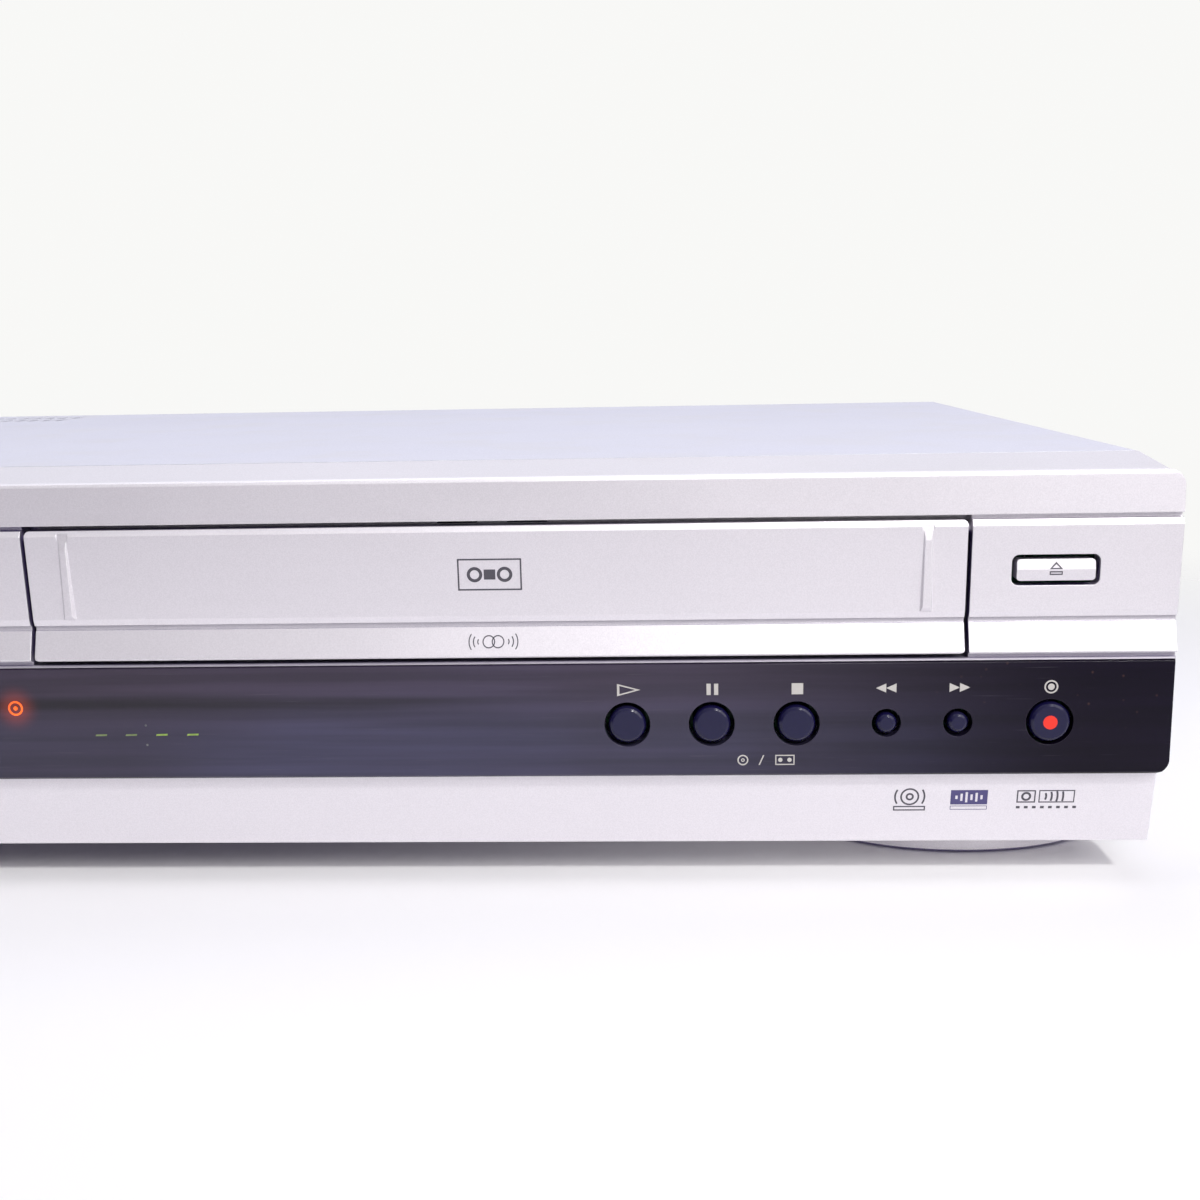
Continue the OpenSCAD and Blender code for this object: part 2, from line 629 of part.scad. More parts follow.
module loader_frame() color(dark_plastic) {
    difference() {
        union() {
            block(frame_x0, frame_x1, frame_y0, frame_y1, frame_z0, frame_z0 + 2);
            for (x = [frame_x0, frame_x1 - frame_t]) block(x, x + frame_t, frame_y0, frame_y1, frame_z0, frame_z1);
            block(frame_x0, frame_x1, frame_y1 - 2, frame_y1, frame_z0, frame_z1 - 12);
            // ledges and hold-down tabs that guide the tray edges
            for (s = [-1, 1]) {
                inner = drive_x + s * (tray_w / 2 - 2.4);
                outer = drive_x + s * 70;
                x0 = min(inner, outer);
                x1 = max(inner, outer);
                block(x0, x1, frame_y0 + 26, frame_y1 - 2, tray_z0 - 1.8, tray_z0 - gap);
                for (y = [-118, -70, -20]) block(x0, x1, y, y + 9, tray_z1 + gap, tray_z1 + gap + 2);
            }
            // lugs for the traverse pins
            for (s = [-1, 1]) block(drive_x + s * 46 - 2, drive_x + s * 46 + 2, traverse_axis[0] - 5,
                                    traverse_axis[0] + 5, frame_z0, traverse_axis[1] + 5);
            // posts of the gears
            rod_z(pinion[0], pinion[1], 3.4, frame_z0, gear_z0 - gap);
            rod_z(pulley[0], pulley[1], 3, frame_z0, gear_z0 - gap);
            // seats of the clamp bridge
            for (s = [-1, 1]) block(drive_x + s * 66 - 4, drive_x + s * 66 + 4, disc_y - 14, disc_y + 14, frame_z1 - 6, frame_z1 - 3);
            // legs down to the pan
            for (x = [frame_x0, frame_x1 - 1.6], y = [-72, 40]) block(x, x + 1.6, y, y + 14, floor_z, frame_z0 + 1);
        }
        block(traverse_x0 - 2.5, traverse_x1 + 2.5, traverse_y0 - 4, traverse_y1 + 2, frame_z0 - 1, frame_z0 + 3);
        for (s = [-1, 1]) rod_x(traverse_axis[0], traverse_axis[1], shaft_r + run, drive_x + s * 46 - 4, drive_x + s * 46 + 4);
        rod_z(motor[0], motor[1], 3.4, frame_z0 - 1, frame_z0 + 3);
    }
    rod_z(pinion[0], pinion[1], shaft_r, gear_z0 - 1, tray_z0 - 1);
    rod_z(pulley[0], pulley[1], shaft_r, gear_z0 - 1, belt_z + 2);
}

module tray_outline() {
    x0 = drive_x - tray_w / 2;
    difference() {
        translate([x0, tray_y0]) square([tray_w, tray_arm_y1 - tray_y0]);
        translate([x0 + 12, tray_y1]) square([tray_w - 24, tray_arm_y1 - tray_y1 + 1]);
    }
}

module disc_tray() color(dark_plastic) {
    difference() {
        translate([0, 0, tray_z0]) linear_extrude(tray_z1 - tray_z0) tray_outline();
        // seats of a full-size and a small disc
        rod_z(drive_x, disc_y, disc_r, tray_z1 - 3.2, tray_z1 + 1);
        rod_z(drive_x, disc_y, 41, tray_z1 - 4, tray_z1);
        // finger notches either side of the disc
        for (s = [-1, 1]) rod_z(drive_x + s * 44, disc_y - 48, 11, tray_z1 - 3.2, tray_z1 + 1);
        // clearance for the turntable and the pickup
        rod_z(drive_x, disc_y, 21, tray_z0 - 1, tray_z1 + 1);
        block(drive_x - 27, drive_x + 35, disc_y + 6, tray_y1 - 6, tray_z0 - 1, tray_z1 + 1);
        block(drive_x - 21, drive_x + 21, disc_y, disc_y + 12, tray_z0 - 1, tray_z1 + 1);
        // relief under the rim
        for (s = [-1, 1]) block(drive_x + s * 58 - 3, drive_x + s * 58 + 3, -20, 36, tray_z0 + 1.6 + 3, tray_z1 + 1);
    }
    translate([rack_x, pinion[1], tray_z0 - 4.2]) linear_extrude(4.2 + eps)
        rack_2d(-12, 146, rack_module, 3, backlash);
}

module tray_bezel() color(silver) {
    face_plate(bezel_x0, bezel_x1, bezel_z0, 0.8);
    // boss that the tray hooks into
    along_x(drive_x - 52, drive_x + 52) polygon([[front_y + 2.4, tray_z0 + 0.4], [front_y + 2.2, tray_z1 - 0.4],
        [tray_y0, tray_z1 - 0.4], [tray_y0, tray_z0 + 0.4]]);
}

module tray_pinion() color(cream) translate([pinion[0], pinion[1], 0]) difference() {
    union() {
        translate([0, 0, gear_z0]) linear_extrude(3) gear_2d(wheel_teeth, drive_module, 0.1);
        translate([0, 0, gear_z0]) cylinder(r = 6, h = tray_z0 - gap - gear_z0 - 0.4);
        translate([0, 0, tray_z0 - 4.7]) linear_extrude(4) rotate([0, 0, 180]) gear_2d(pinion_teeth, rack_module, backlash);
    }
    translate([0, 0, gear_z0 - 1]) cylinder(r = shaft_r + run, h = 20);
}

module pulley_gear() color(cream) translate([pulley[0], pulley[1], 0]) difference() {
    union() {
        translate([0, 0, gear_z0]) linear_extrude(3) rotate([0, 0, 180 + 180 / small_teeth]) gear_2d(small_teeth, drive_module, 0.1);
        translate([0, 0, gear_z0 + 3 - eps]) cylinder(r = 3.6, h = 1.2);
        rotate_extrude() polygon([[0, belt_z - 1.6], [9.8, belt_z - 1.6], [9.8, belt_z - 0.9], [pulley_groove_r, belt_z - 0.7],
            [pulley_groove_r, belt_z + 0.7], [9.8, belt_z + 0.9], [9.8, belt_z + 1.6], [0, belt_z + 1.6]]);
    }
    translate([0, 0, gear_z0 - 1]) cylinder(r = shaft_r + run, h = 20);
}

module loading_motor() color(steel) translate([motor[0], motor[1], 0]) {
    translate([0, 0, 42]) cylinder(r = 10.5, h = frame_z0 - 42);
    translate([0, 0, 40]) cylinder(r = 4, h = 2 + eps);
    translate([0, 0, frame_z0 - eps]) cylinder(r = 3, h = 2);
    translate([0, 0, frame_z0]) cylinder(r = 1, h = 13);
}

module motor_pulley() color(cream) translate([motor[0], motor[1], 0]) difference() {
    rotate_extrude() polygon([[0, belt_z - 1.6], [3.6, belt_z - 1.6], [3.6, belt_z - 1], [motor_groove_r, belt_z - 0.7],
        [motor_groove_r, belt_z + 0.7], [3.6, belt_z + 1], [3.6, belt_z + 1.6], [0, belt_z + 1.6]]);
    translate([0, 0, belt_z - 3]) cylinder(r = 1 + run, h = 6);
}

// Square belt round both pulleys
module loading_belt() color(rubber) {
    slack = 0.08;
    thick = 0.9;
    translate([0, 0, belt_z - 0.5]) linear_extrude(1) difference() {
        hull() {
            translate(pulley) circle(pulley_groove_r + slack + thick, $fn = 72);
            translate(motor) circle(motor_groove_r + slack + thick);
        }
        hull() {
            translate(pulley) circle(pulley_groove_r + slack, $fn = 72);
            translate(motor) circle(motor_groove_r + slack);
        }
    }
}

// Sled guides and gear
rod_x_offset = 19;
guide_z = 62.2;
sled_y0 = -42;
sled_y1 = -16;
sled_module = 0.8;
sled_teeth = 14;
sled_rack_x = drive_x + 25;
sled_pin = [sled_rack_x + sled_module * sled_teeth / 2, -14];
sled_gear_z = traverse_z0 + traverse_t + 1.2;

module traverse_plate() color(steel) {
    z1 = traverse_z0 + traverse_t;
    difference() {
        union() {
            block(traverse_x0, traverse_x1, traverse_y0, traverse_y1 - 8, traverse_z0, z1);
            for (s = [-1, 1]) block(drive_x + s * 38 - 2, drive_x + s * 38 + 2, traverse_y1 - 20, traverse_axis[0] + 3,
                                    traverse_z0, traverse_axis[1] + 3);
            // blocks that hold the guide rods
            for (y = [-48, 30]) block(drive_x - 23, drive_x + 23, y, y + 3, traverse_z0, guide_z + 2.6);
        }
        // spindle motor seat and the opening for the sled
        rod_z(drive_x, disc_y, 12.5, traverse_z0 - 1, z1 + 1);
        block(drive_x - 23.5, drive_x + 23.5, -45, 30, traverse_z0 - 1, z1 + 0.01);
        block(drive_x + 20, drive_x + 27, -57, 30, traverse_z0 - 1, z1 + 6);
    }
    for (s = [-1, 1]) {
        rod_x(traverse_axis[0], traverse_axis[1], shaft_r, s > 0 ? drive_x + 38 : drive_x - 49, s > 0 ? drive_x + 49 : drive_x - 38);
        rod_y(drive_x + s * (rod_x_offset - (s > 0 ? 2 : 0)), guide_z, shaft_r, -46, 31);
    }
    // spindle motor, its case riveted into the plate
    difference() {
        union() {
            rod_z(drive_x, disc_y, 12.5, traverse_z0 - 5, z1);
            rod_z(drive_x, disc_y, 9, z1 - eps, z1 + 1.4);
        }
        rod_z(drive_x, disc_y, 1.2 + run, traverse_z0 - 3, z1 + 3);
    }
    rod_z(sled_pin[0], sled_pin[1], 1, z1 - eps, sled_gear_z + 3.2);
    rod_z(sled_pin[0], sled_pin[1], 2, z1 - eps, sled_gear_z - 0.1);
}

module turntable() color(dark_plastic) translate([drive_x, disc_y, 0]) union() {
    base = 66.3;
    translate([0, 0, traverse_z0 - 2.5]) cylinder(r = 1.2, h = base - traverse_z0 + 3);
    rotate_extrude() polygon([[0, base - 2], [6, base - 2], [6, base], [14.5, base], [14.5, base + 2.2], [7.6, base + 2.2],
        [7.4, base + 3], [5, base + 4.1], [0, base + 4.1]]);
}

module pickup_sled() color(grey_plastic) {
    z0 = 58.6;
    z1 = 65.4;
    difference() {
        union() {
            block(drive_x - 22, drive_x + 20.5, sled_y0, sled_y1, z0, z1);
            rod_z(drive_x, -32, 7, z1 - 1, z1 + 0.6);
            block(drive_x + 20, drive_x + 23.5, sled_y0, sled_y1, sled_gear_z + 0.1, z1);
        }
        for (s = [-1, 1]) rod_y(drive_x + s * (rod_x_offset - (s > 0 ? 2 : 0)), guide_z, shaft_r + run, sled_y0 - 1, sled_y1 + 1);
        rod_z(drive_x, -32, 3.2, z1 - 0.6, z1 + 2);
        block(drive_x - 16, drive_x + 14, sled_y0 + 3, sled_y0 + 5, z0 - 1, z1 + 1);
    }
    rod_z(drive_x, -32, 2.6, z1 - 0.7, z1 + 0.3);
    translate([sled_rack_x, sled_pin[1], sled_gear_z + 0.1]) linear_extrude(z1 - sled_gear_z - 0.1)
        rack_2d(-39, 4, sled_module, 1, 0.2);
}

module sled_gear() color(cream) translate([sled_pin[0], sled_pin[1], sled_gear_z]) difference() {
    linear_extrude(2.6) rotate([0, 0, 180]) gear_2d(sled_teeth, sled_module, 0.2);
    translate([0, 0, -1]) cylinder(r = 1 + run, h = 6);
}

module clamp_bridge() color(steel) {
    z0 = frame_z1 - 3;
    difference() {
        union() {
            block(frame_x0 + 3, frame_x1 - 3, disc_y - 13, disc_y + 13, z0, z0 + 1.2);
            rod_z(drive_x, disc_y, 20, z0, z0 + 1.2);
        }
        rod_z(drive_x, disc_y, 13.6, z0 - 1, z0 + 3);
        for (s = [-1, 1], k = [-1, 1]) translate([drive_x + s * 42, disc_y + k * 6, z0 - 1]) linear_extrude(4) round_rect(22, 5, 2);
    }
}

module clamp_puck() color(cream) translate([drive_x, disc_y, 0]) {
    z0 = tray_z1 + 0.6;
    seat = frame_z1 - 3 + 1.2 + gap;
    rotate_extrude() polygon([[8, z0], [13, z0], [13, seat], [15.4, seat], [15.4, seat + 1.4], [4, seat + 1.4], [4, seat + 0.6],
        [0, seat + 0.6], [0, z0 + 3], [8, z0 + 3]]);
}

// ---------------------------------------------------------------- cassette deck

reel_y = -12;
reel_x = [deck_x - reel_pitch / 2, deck_x + reel_pitch / 2];
reel_r = 17;
drum = [deck_x, 80, 44];
capstan_at = [128, 46];
capstan_r = 1.5;
pinch_pivot = [148, 64];
pinch_length = 21.7;
pinch_rest = 174;
roller_r = 6;
roller_at = pinch_pivot + pinch_length * [cos(pinch_rest), sin(pinch_rest)];
idler_pivot = [deck_x, -48];
idler_at = [deck_x, -14];
idler_r = 20;
guide_rest = [deck_x - 52, 38];
guide_end = [deck_x - 36, 86];
cassette_z = 56.2;
plate_in = 101;
plate_t = 1.5;
slide_in = 98.9;
slide_t = 1.3;
wall_in = cassette_w / 2 + 2.2;
basket_y0 = -99;
basket_y1 = basket_y0 + cassette_d - 1;
basket_pin_y = [-80, -20];
basket_pin_z = 70;
slide_pin_y = [-86, -14];
slide_pin_z = 75;

module deck_plate() color(steel) {
    difference() {
        union() {
            block(deck_x - 104, deck_x + 104, -97, 114, deck_bottom_z, deck_top_z);
            rod_z(capstan_at[0], capstan_at[1], 3, deck_bottom_z, 33);
        }
        for (s = [0, 1]) mirror_about(s) slot_z(guide_rest, guide_end, 2.7, deck_bottom_z - 1, deck_top_z + 1);
        rod_z(capstan_at[0], capstan_at[1], capstan_r + run, deck_bottom_z - 1, 40);
        for (p = deck_tower) rod_z(p[0], p[1], 1.6, deck_bottom_z - 1, deck_top_z + 1);
        // lightening holes
        for (x = [deck_x - 86, deck_x + 86]) block(x - 7, x + 7, -60, -10, deck_bottom_z - 1, deck_top_z + 1);
        block(40, 84, -90, -66, deck_bottom_z - 1, deck_top_z + 1);
    }
    for (x = reel_x) {
        rod_z(x, reel_y, 3, deck_top_z - eps, 42);
        rod_z(x, reel_y, 6, deck_top_z - eps, deck_top_z + 1.8);
    }
    rod_z(pinch_pivot[0], pinch_pivot[1], 2, deck_top_z - eps, 34);
    rod_z(idler_pivot[0], idler_pivot[1], 2, deck_top_z - eps, 32);
    // posts that the cassette rests on
    for (x = [deck_x - 76, deck_x + 76], y = [-52, 26]) rod_z(x, y, 2.5, deck_top_z - eps, 38);
}

// Mirrors what follows about the deck's centre line when side is 1
module mirror_about(side) {
    translate([side * 2 * deck_x, 0, 0]) mirror([side, 0, 0]) children();
}

// Upright side plates with the slots that guide the slides
module carriage_frame() color(steel) {
    z0 = deck_top_z;
    z1 = 92;
    for (side = [0, 1]) mirror_about(side) difference() {
        union() {
            block(deck_x + plate_in, deck_x + plate_in + plate_t, -97, 60, z0, z1);
            block(deck_x + plate_in - 8, deck_x + plate_in + plate_t, -97, -83, z1 - 1.2, z1);
        }
        for (y = slide_pin_y) {
            block(deck_x + plate_in - 9, deck_x + plate_in + 9, y, y + basket_in, slide_pin_z - 1.6, slide_pin_z + 1.6);
            rod_x(y, slide_pin_z, 1.6, deck_x + plate_in - 9, deck_x + plate_in + 9);
            rod_x(y + basket_in, slide_pin_z, 1.6, deck_x + plate_in - 9, deck_x + plate_in + 9);
        }
        for (y = [-70, -15, 38]) block(deck_x + plate_in - 1, deck_x + plate_in + 9, y, y + 26, 34, 62);
    }
    for (y = [-97, 44]) block(deck_x - plate_in - plate_t, deck_x + plate_in + plate_t, y, y + 14, z1 - 1.2, z1);
}

module carriage_slides() color(cream) for (side = [0, 1]) mirror_about(side) difference() {
    union() {
        block(deck_x + slide_in, deck_x + slide_in + slide_t, -92, -8, 47, 79);
        for (y = slide_pin_y) rod_x(y, slide_pin_z, 1.4, deck_x + slide_in, deck_x + plate_in + plate_t + 0.8);
    }
    for (y = basket_pin_y) {
        block(deck_x + 90, deck_x + 110, y - 1.7, y + 1.7, basket_pin_z - basket_down, basket_pin_z);
        for (z = [basket_pin_z, basket_pin_z - basket_down]) rod_x(y, z, 1.7, deck_x + 90, deck_x + 110);
    }
    block(deck_x + 90, deck_x + 110, -68, -32, 54, 72);
}

module cassette_basket() color(steel) {
    z0 = cassette_z - 1.2;
    z1 = 83.6;
    t = 1.2;
    for (side = [0, 1]) mirror_about(side) {
        block(deck_x + wall_in, deck_x + wall_in + t, basket_y0, basket_y1, z0, z1);
        block(deck_x + 84, deck_x + wall_in + eps, basket_y0, basket_y1, z0, z0 + t);
        block(deck_x + 86, deck_x + wall_in + eps, basket_y1 - t, basket_y1, z0, z0 + 18);
        for (y = basket_pin_y) rod_x(y, basket_pin_z, 1.5, deck_x + wall_in + t - eps, deck_x + slide_in + slide_t + 0.4);
    }
    difference() {
        block(deck_x - wall_in - eps, deck_x + wall_in + eps, basket_y0 + 14, basket_y1 - 12, z1 - t, z1);
        for (x = [deck_x - 52, deck_x + 52]) translate([x, basket_y0 + 54, z1 - 3]) linear_extrude(5) round_rect(56, 34, 4);
    }
}

// Places children in the leaning frame of the drum
module leaning() {
    translate(drum) rotate([-drum_tilt, 0, 0]) children();
}

module drum_lower() color(steel) difference() {
    union() {
        rod_z(drum[0], drum[1], 21, deck_top_z, 41);
        leaning() translate([0, 0, -5]) cylinder(r = drum_r, h = 12, $fn = 96);
    }
    leaning() translate([0, 0, -12]) cylinder(r = 3 + run, h = 30);
    leaning() translate([0, 0, 4]) difference() {
        cylinder(r = drum_r - 3, h = 5);
        cylinder(r = 8, h = 5);
    }
}

module drum_upper() color(steel) leaning() {
    heads = 4;
    difference() {
        union() {
            translate([0, 0, 7 + gap]) cylinder(r = drum_r, h = 15, $fn = 96);
            translate([0, 0, -8]) cylinder(r = 3, h = 16);
            translate([0, 0, 22]) cylinder(r = 14, h = 2.4);
        }
        for (i = [0 : heads - 1]) rotate([0, 0, i * 90 + 20]) translate([drum_r - 2, -2, 7]) cube([4, 4, 3]);
        for (i = [0 : 2]) rotate([0, 0, i * 120]) translate([20, 0, 17]) cylinder(r = 5, h = 8);
    }
}

module capstan() color(steel) translate([capstan_at[0], capstan_at[1], 0]) union() {
    cylinder_from(capstan_r, 18, 60);
    rotate_extrude($fn = 72) polygon([[0, 19], [24, 19], [25, 20], [25, 23.2], [24.2, 23.8], [8, 23.8], [8, 24.2], [0, 24.2]]);
}

// A cylinder on the z axis between two heights
module cylinder_from(r, z0, z1) {
    translate([0, 0, z0]) cylinder(r = r, h = z1 - z0);
}

module capstan_motor() color(board_green) translate([capstan_at[0], capstan_at[1], 0]) difference() {
    union() {
        translate([-29, -29, 13.4]) cube([58, 58, 1.4]);
        for (i = [0 : 8]) rotate([0, 0, i * 40]) translate([15, 0, 14.8 - eps]) cylinder(r = 4.2, h = 3);
        cylinder_from(6, 14.7, 18.6);
        for (sx = [-1, 1], sy = [-1, 1]) translate([sx * 26, sy * 26, floor_z]) cylinder(r = 2.4, h = 13.4 - floor_z + eps);
    }
    cylinder_from(capstan_r + run, 17.6, 20);
}

module pinch_arm() color(steel) {
    z0 = 28.6;
    z1 = 30.4;
    difference() {
        union() {
            rod_z(pinch_pivot[0], pinch_pivot[1], 4.5, z0 - 1.2, 33);
            rod_z(roller_at[0], roller_at[1], 3.5, z0, z1);
            slot_z(pinch_pivot, roller_at, 3, z0, z1);
            rod_z(roller_at[0], roller_at[1], 1.5, z0, 57);
        }
        rod_z(pinch_pivot[0], pinch_pivot[1], 2 + run, z0 - 3, 40);
    }
}

module pinch_roller() color(rubber) translate([roller_at[0], roller_at[1], 0]) difference() {
    rotate_extrude() polygon([[0, 38], [2.6, 38], [2.6, 39], [roller_r - 0.3, 39], [roller_r, 39.4], [roller_r, 54.6],
        [roller_r - 0.3, 55], [2.6, 55], [2.6, 56], [0, 56]]);
    cylinder_from(1.5 + run, 30, 60);
}

// Reel table: friction rim, flange and a three-finned spindle
module reel(x) translate([x, reel_y, 0]) {
    fins = 3;
    difference() {
        union() {
            rotate_extrude() polygon([[0, 28.6], [reel_r, 28.6], [reel_r, 32.6], [14, 33.2], [14, 36.4], [13, 37], [8.2, 37],
                [8, 43], [6.4, 47], [0, 48]]);
            for (i = [0 : fins - 1]) rotate([0, 0, i * 120]) translate([7, -1.1, 36.8]) cube([4.2, 2.2, 6.6]);
        }
        cylinder_from(3 + run, 20, 43);
        for (i = [0 : 11]) rotate([0, 0, i * 30]) translate([15.4, 0, 31.6]) cylinder(r = 0.7, h = 2, $fn = 16);
    }
}

module supply_reel() color(dark_plastic) reel(reel_x[0]);

module takeup_reel() color(dark_plastic) reel(reel_x[1]);

module idler_arm() color(steel) difference() {
    union() {
        rod_z(idler_pivot[0], idler_pivot[1], 5, 27, 30);
        slot_z(idler_pivot, idler_at, 4.5, 27, 28.2);
        rod_z(idler_at[0], idler_at[1], 1.5, 27, 34);
    }
    rod_z(idler_pivot[0], idler_pivot[1], 2 + run, 26, 34);
}

module idler_wheel() color(cream) translate([idler_at[0], idler_at[1], 0]) difference() {
    rotate_extrude() polygon([[0, 28.6], [4, 28.6], [4, 29.2], [idler_r - 3, 29.2], [idler_r - 3, 28.8], [idler_r, 28.8],
        [idler_r, 32], [idler_r - 3, 32], [idler_r - 3, 31.4], [4, 31.4], [4, 33], [0, 33]]);
    cylinder_from(1.5 + run, 27, 36);
    for (i = [0 : 4]) rotate([0, 0, i * 72]) translate([10.5, 0, 27]) cylinder(r = 3.6, h = 6);
}

// Guide block with its roller and slanted post
module guide_post() {
    x = guide_rest[0];
    y = guide_rest[1];
    rod_z(x, y, 2.4, deck_bottom_z - 0.8, deck_top_z + 2);
    translate([x, y, deck_top_z + 0.4]) rotate([0, 0, -18]) translate([-7, -6.5, 0]) cube([14, 13, 4.6]);
    translate([x - 2, y - 2.6, 0]) rotate_extrude() polygon([[0, 31], [1.2, 31], [1.2, 42], [3.6, 42], [3.6, 43], [2.8, 43.4],
        [2.8, 56], [3.6, 56.4], [3.6, 57.4], [1.6, 57.4], [1.6, 59.6], [0, 60]]);
    translate([x + 3, y + 2.6, 30.8]) rotate([8, -8, 0]) cylinder(r = 1.4, h = 26);
}

module supply_guide() color(brass) guide_post();

module takeup_guide() color(brass) mirror_about(1) guide_post();

// Magnetic head on its bracket
module head(x, y, w, d, turn) translate([x, y, 0]) rotate([0, 0, turn]) {
    translate([-w / 2, -d / 2, deck_top_z]) cube([w, d + 4, 2]);
    translate([-w / 2 + 1, d / 2 - 1, deck_top_z]) cube([w - 2, 2, 26]);
    difference() {
        translate([-w / 2, -d / 2, 42]) cube([w, d - 1, 16]);
        translate([-w, -d / 2 - 4.2, 41]) cube([2 * w, 4.6, 3]);
    }
    translate([0, -d / 2 + 1.2, 44]) cylinder(r = w / 3, h = 12);
}

module erase_head() color(steel) head(-4, 60, 12, 8, 20);

module control_head() color(steel) head(116, 92, 13, 8, -30);

// ---------------------------------------------------------------- boards and sockets

// Upright capacitor with its pressed top
module capacitor(x, y, r, h, z) translate([x, y, z - eps]) rotate_extrude()
    polygon([[0, 0], [r, 0], [r, 1.4], [r - 0.5, 1.8], [r, 2.2], [r, h], [r - 0.6, h + 0.2], [0, h]]);

module main_board() {
    z = pcb_z + board_t;
    color(board_green) difference() {
        block(-117, -47, -111, 104, pcb_z, z);
        for (i = [0 : 3]) rod_z(board_tower[i][0], board_tower[i][1], 1.6, pcb_z - 1, z + 1);
        block(-50.2, -46, -74, 58, pcb_z - 1, z + 1);
    }
    color(dark_plastic) {
        for (c = [[-84, -74, 28, 28], [-86, -22, 20, 20], [-82, 26, 24, 14]])
            block(c[0] - c[2] / 2, c[0] + c[2] / 2, c[1] - c[3] / 2, c[1] + c[3] / 2, z - eps, z + 2.2);
        for (c = [[-104, -40], [-104, 0], [-100, 40], [-62, -90], [-64, 8]]) capacitor(c[0], c[1], 4, 11, z);
    }
    color(cream) for (y = [-98, -52, 46]) block(-74, -58, y, y + 6, z - eps, z + 8);
}

module power_board() {
    z = pcb_z + board_t;
    color(copper) difference() {
        block(-205, -125, -50, 111, pcb_z, z);
        for (i = [4 : 7]) rod_z(board_tower[i][0], board_tower[i][1], 1.6, pcb_z - 1, z + 1);
        block(-192, -187, 38, 56, pcb_z - 1, z + 1);
    }
    color(dark_plastic) {
        capacitor(-188, -18, 9, 30, z);
        for (c = [[-148, -30], [-148, -8], [-140, 94]]) capacitor(c[0], c[1], 5.5, 18, z);
    }
    color(steel) for (i = [0 : 5]) block(-140 + i * 2, -139 + i * 2, 10, 46, z - eps, z + 24);
    color(steel) block(-140, -129, 10, 46, z - eps, z + 3);
    color(cream) rod_y(-196, z + 4, 2.6, 74, 94);
    color(steel) for (y = [74, 91]) block(-199, -193, y, y + 3, z - eps, z + 3);
}

module transformer() {
    z = pcb_z + board_t;
    color(steel) block(-184, -146, 24, 54, z, z + 30);
    color(copper) block(-178, -152, 19, 59, z + 5, z + 25);
}

module front_board() {
    y1 = board_y + board_t;
    color(board_green) {
        block(-207, 207, board_y, y1, 23, 53.5);
        block(eject_x - 12, eject_x + 12, board_y, y1, 66, 84);
        block(open_close_x - 6, open_close_x + 6, board_y, y1, 66, 84);
    }
    color(dark_plastic) {
        for (b = transport) block(b[0] - 3, b[0] + 3, switch_y, board_y + eps, button_z - 3, button_z + 3);
        block(power_x - 3, power_x + 3, switch_y, board_y + eps, button_z - 3, button_z + 3);
        for (x = [eject_x, open_close_x]) block(x - 3, x + 3, switch_y, board_y + eps, key_z - 3, key_z + 3);
        for (x = [-120, 82]) block(x - 8, x + 8, y1 - eps, y1 + 4, 30, 36);
    }
}

module display_tube() color(black_gloss) {
    block(-76, 61, board_y - 5.4, board_y, 32.5, 52);
    rod_y(50, 42, 1.6, board_y - 6.2, board_y - 5.4 + eps);
}

module tuner_can() color(steel) {
    block(-110, -58, 66, pan_rear_y, pcb_z + board_t, 46);
    for (x = aerial_x) difference() {
        union() {
            rod_y(x, aerial_z, aerial_r, pan_rear_y - eps, rear_y);
            rod_y(x, aerial_z, 6.4, panel_y + 0.2, panel_y + 2);
        }
        rod_y(x, aerial_z, 3.2, rear_y - 6, rear_y + 1);
        rod_y(x, aerial_z, 0.6, rear_y - 8, rear_y + 1);
    }
}

module rear_jacks() {
    y0 = panel_y - 12;
    color(dark_plastic) difference() {
        block(-48, 24, y0, panel_y - sheet_t, 29, 71);
        rod_y(s_video[0], s_video[1], 5.2, panel_y - 9, panel_y + 1);
        block(optical[0] - 4.2, optical[0] + 4.2, panel_y - 9, panel_y + 1, optical[1] - 4.2, optical[1] + 4.2);
    }
    for (x = rear_jack_x, z = rear_jack_z) {
        color(brass) difference() {
            rod_y(x, z, jack_r, panel_y - sheet_t - eps, panel_y + 8.4);
            rod_y(x, z, jack_r - 0.5, panel_y + 1, panel_y + 9);
        }
        color(cream) difference() {
            rod_y(x, z, jack_r - 0.5, panel_y + 1 - eps, panel_y + 8);
            rod_y(x, z, 1.6, panel_y - 2, panel_y + 9);
        }
    }
}

module front_jacks() for (x = front_jack_x) {
    color(dark_plastic) rod_y(x, button_z, 6.3, front_y + 9.6, board_y);
    difference() {
        color(brass) rod_y(x, button_z, jack_r, front_y + 1, front_y + 9.6 + eps);
        rod_y(x, button_z, 1.6, front_y, front_y + 9);
    }
}

// Bush that the mains lead would pass through
module mains_gland() color(rubber) translate([gland[0], panel_y, gland[1]]) rotate([-90, 0, 0]) difference() {
    rotate_extrude() polygon([[0, -3.4], [6.8, -3.4], [6.8, -1.2], [gland_r, -1.1], [gland_r, 0.1], [8, 0.1], [8, 2], [5.4, 4.6], [0, 4.6]]);
    translate([0, 0, -5]) cylinder(r = 3.6, h = 12);
}

// ---------------------------------------------------------------- buttons

// Round button: flat front, dished bevel, long stem towards its switch
module round_button(x, r) translate([x, front_y, button_z]) rotate([-90, 0, 0]) rotate_extrude()
    polygon([[0, 0.15], [r - 0.85, 0.15], [r - 0.35, 0.5], [r, 1.1], [r, 6.4], [2, 6.6], [2, 8.7], [0, 8.7]]);

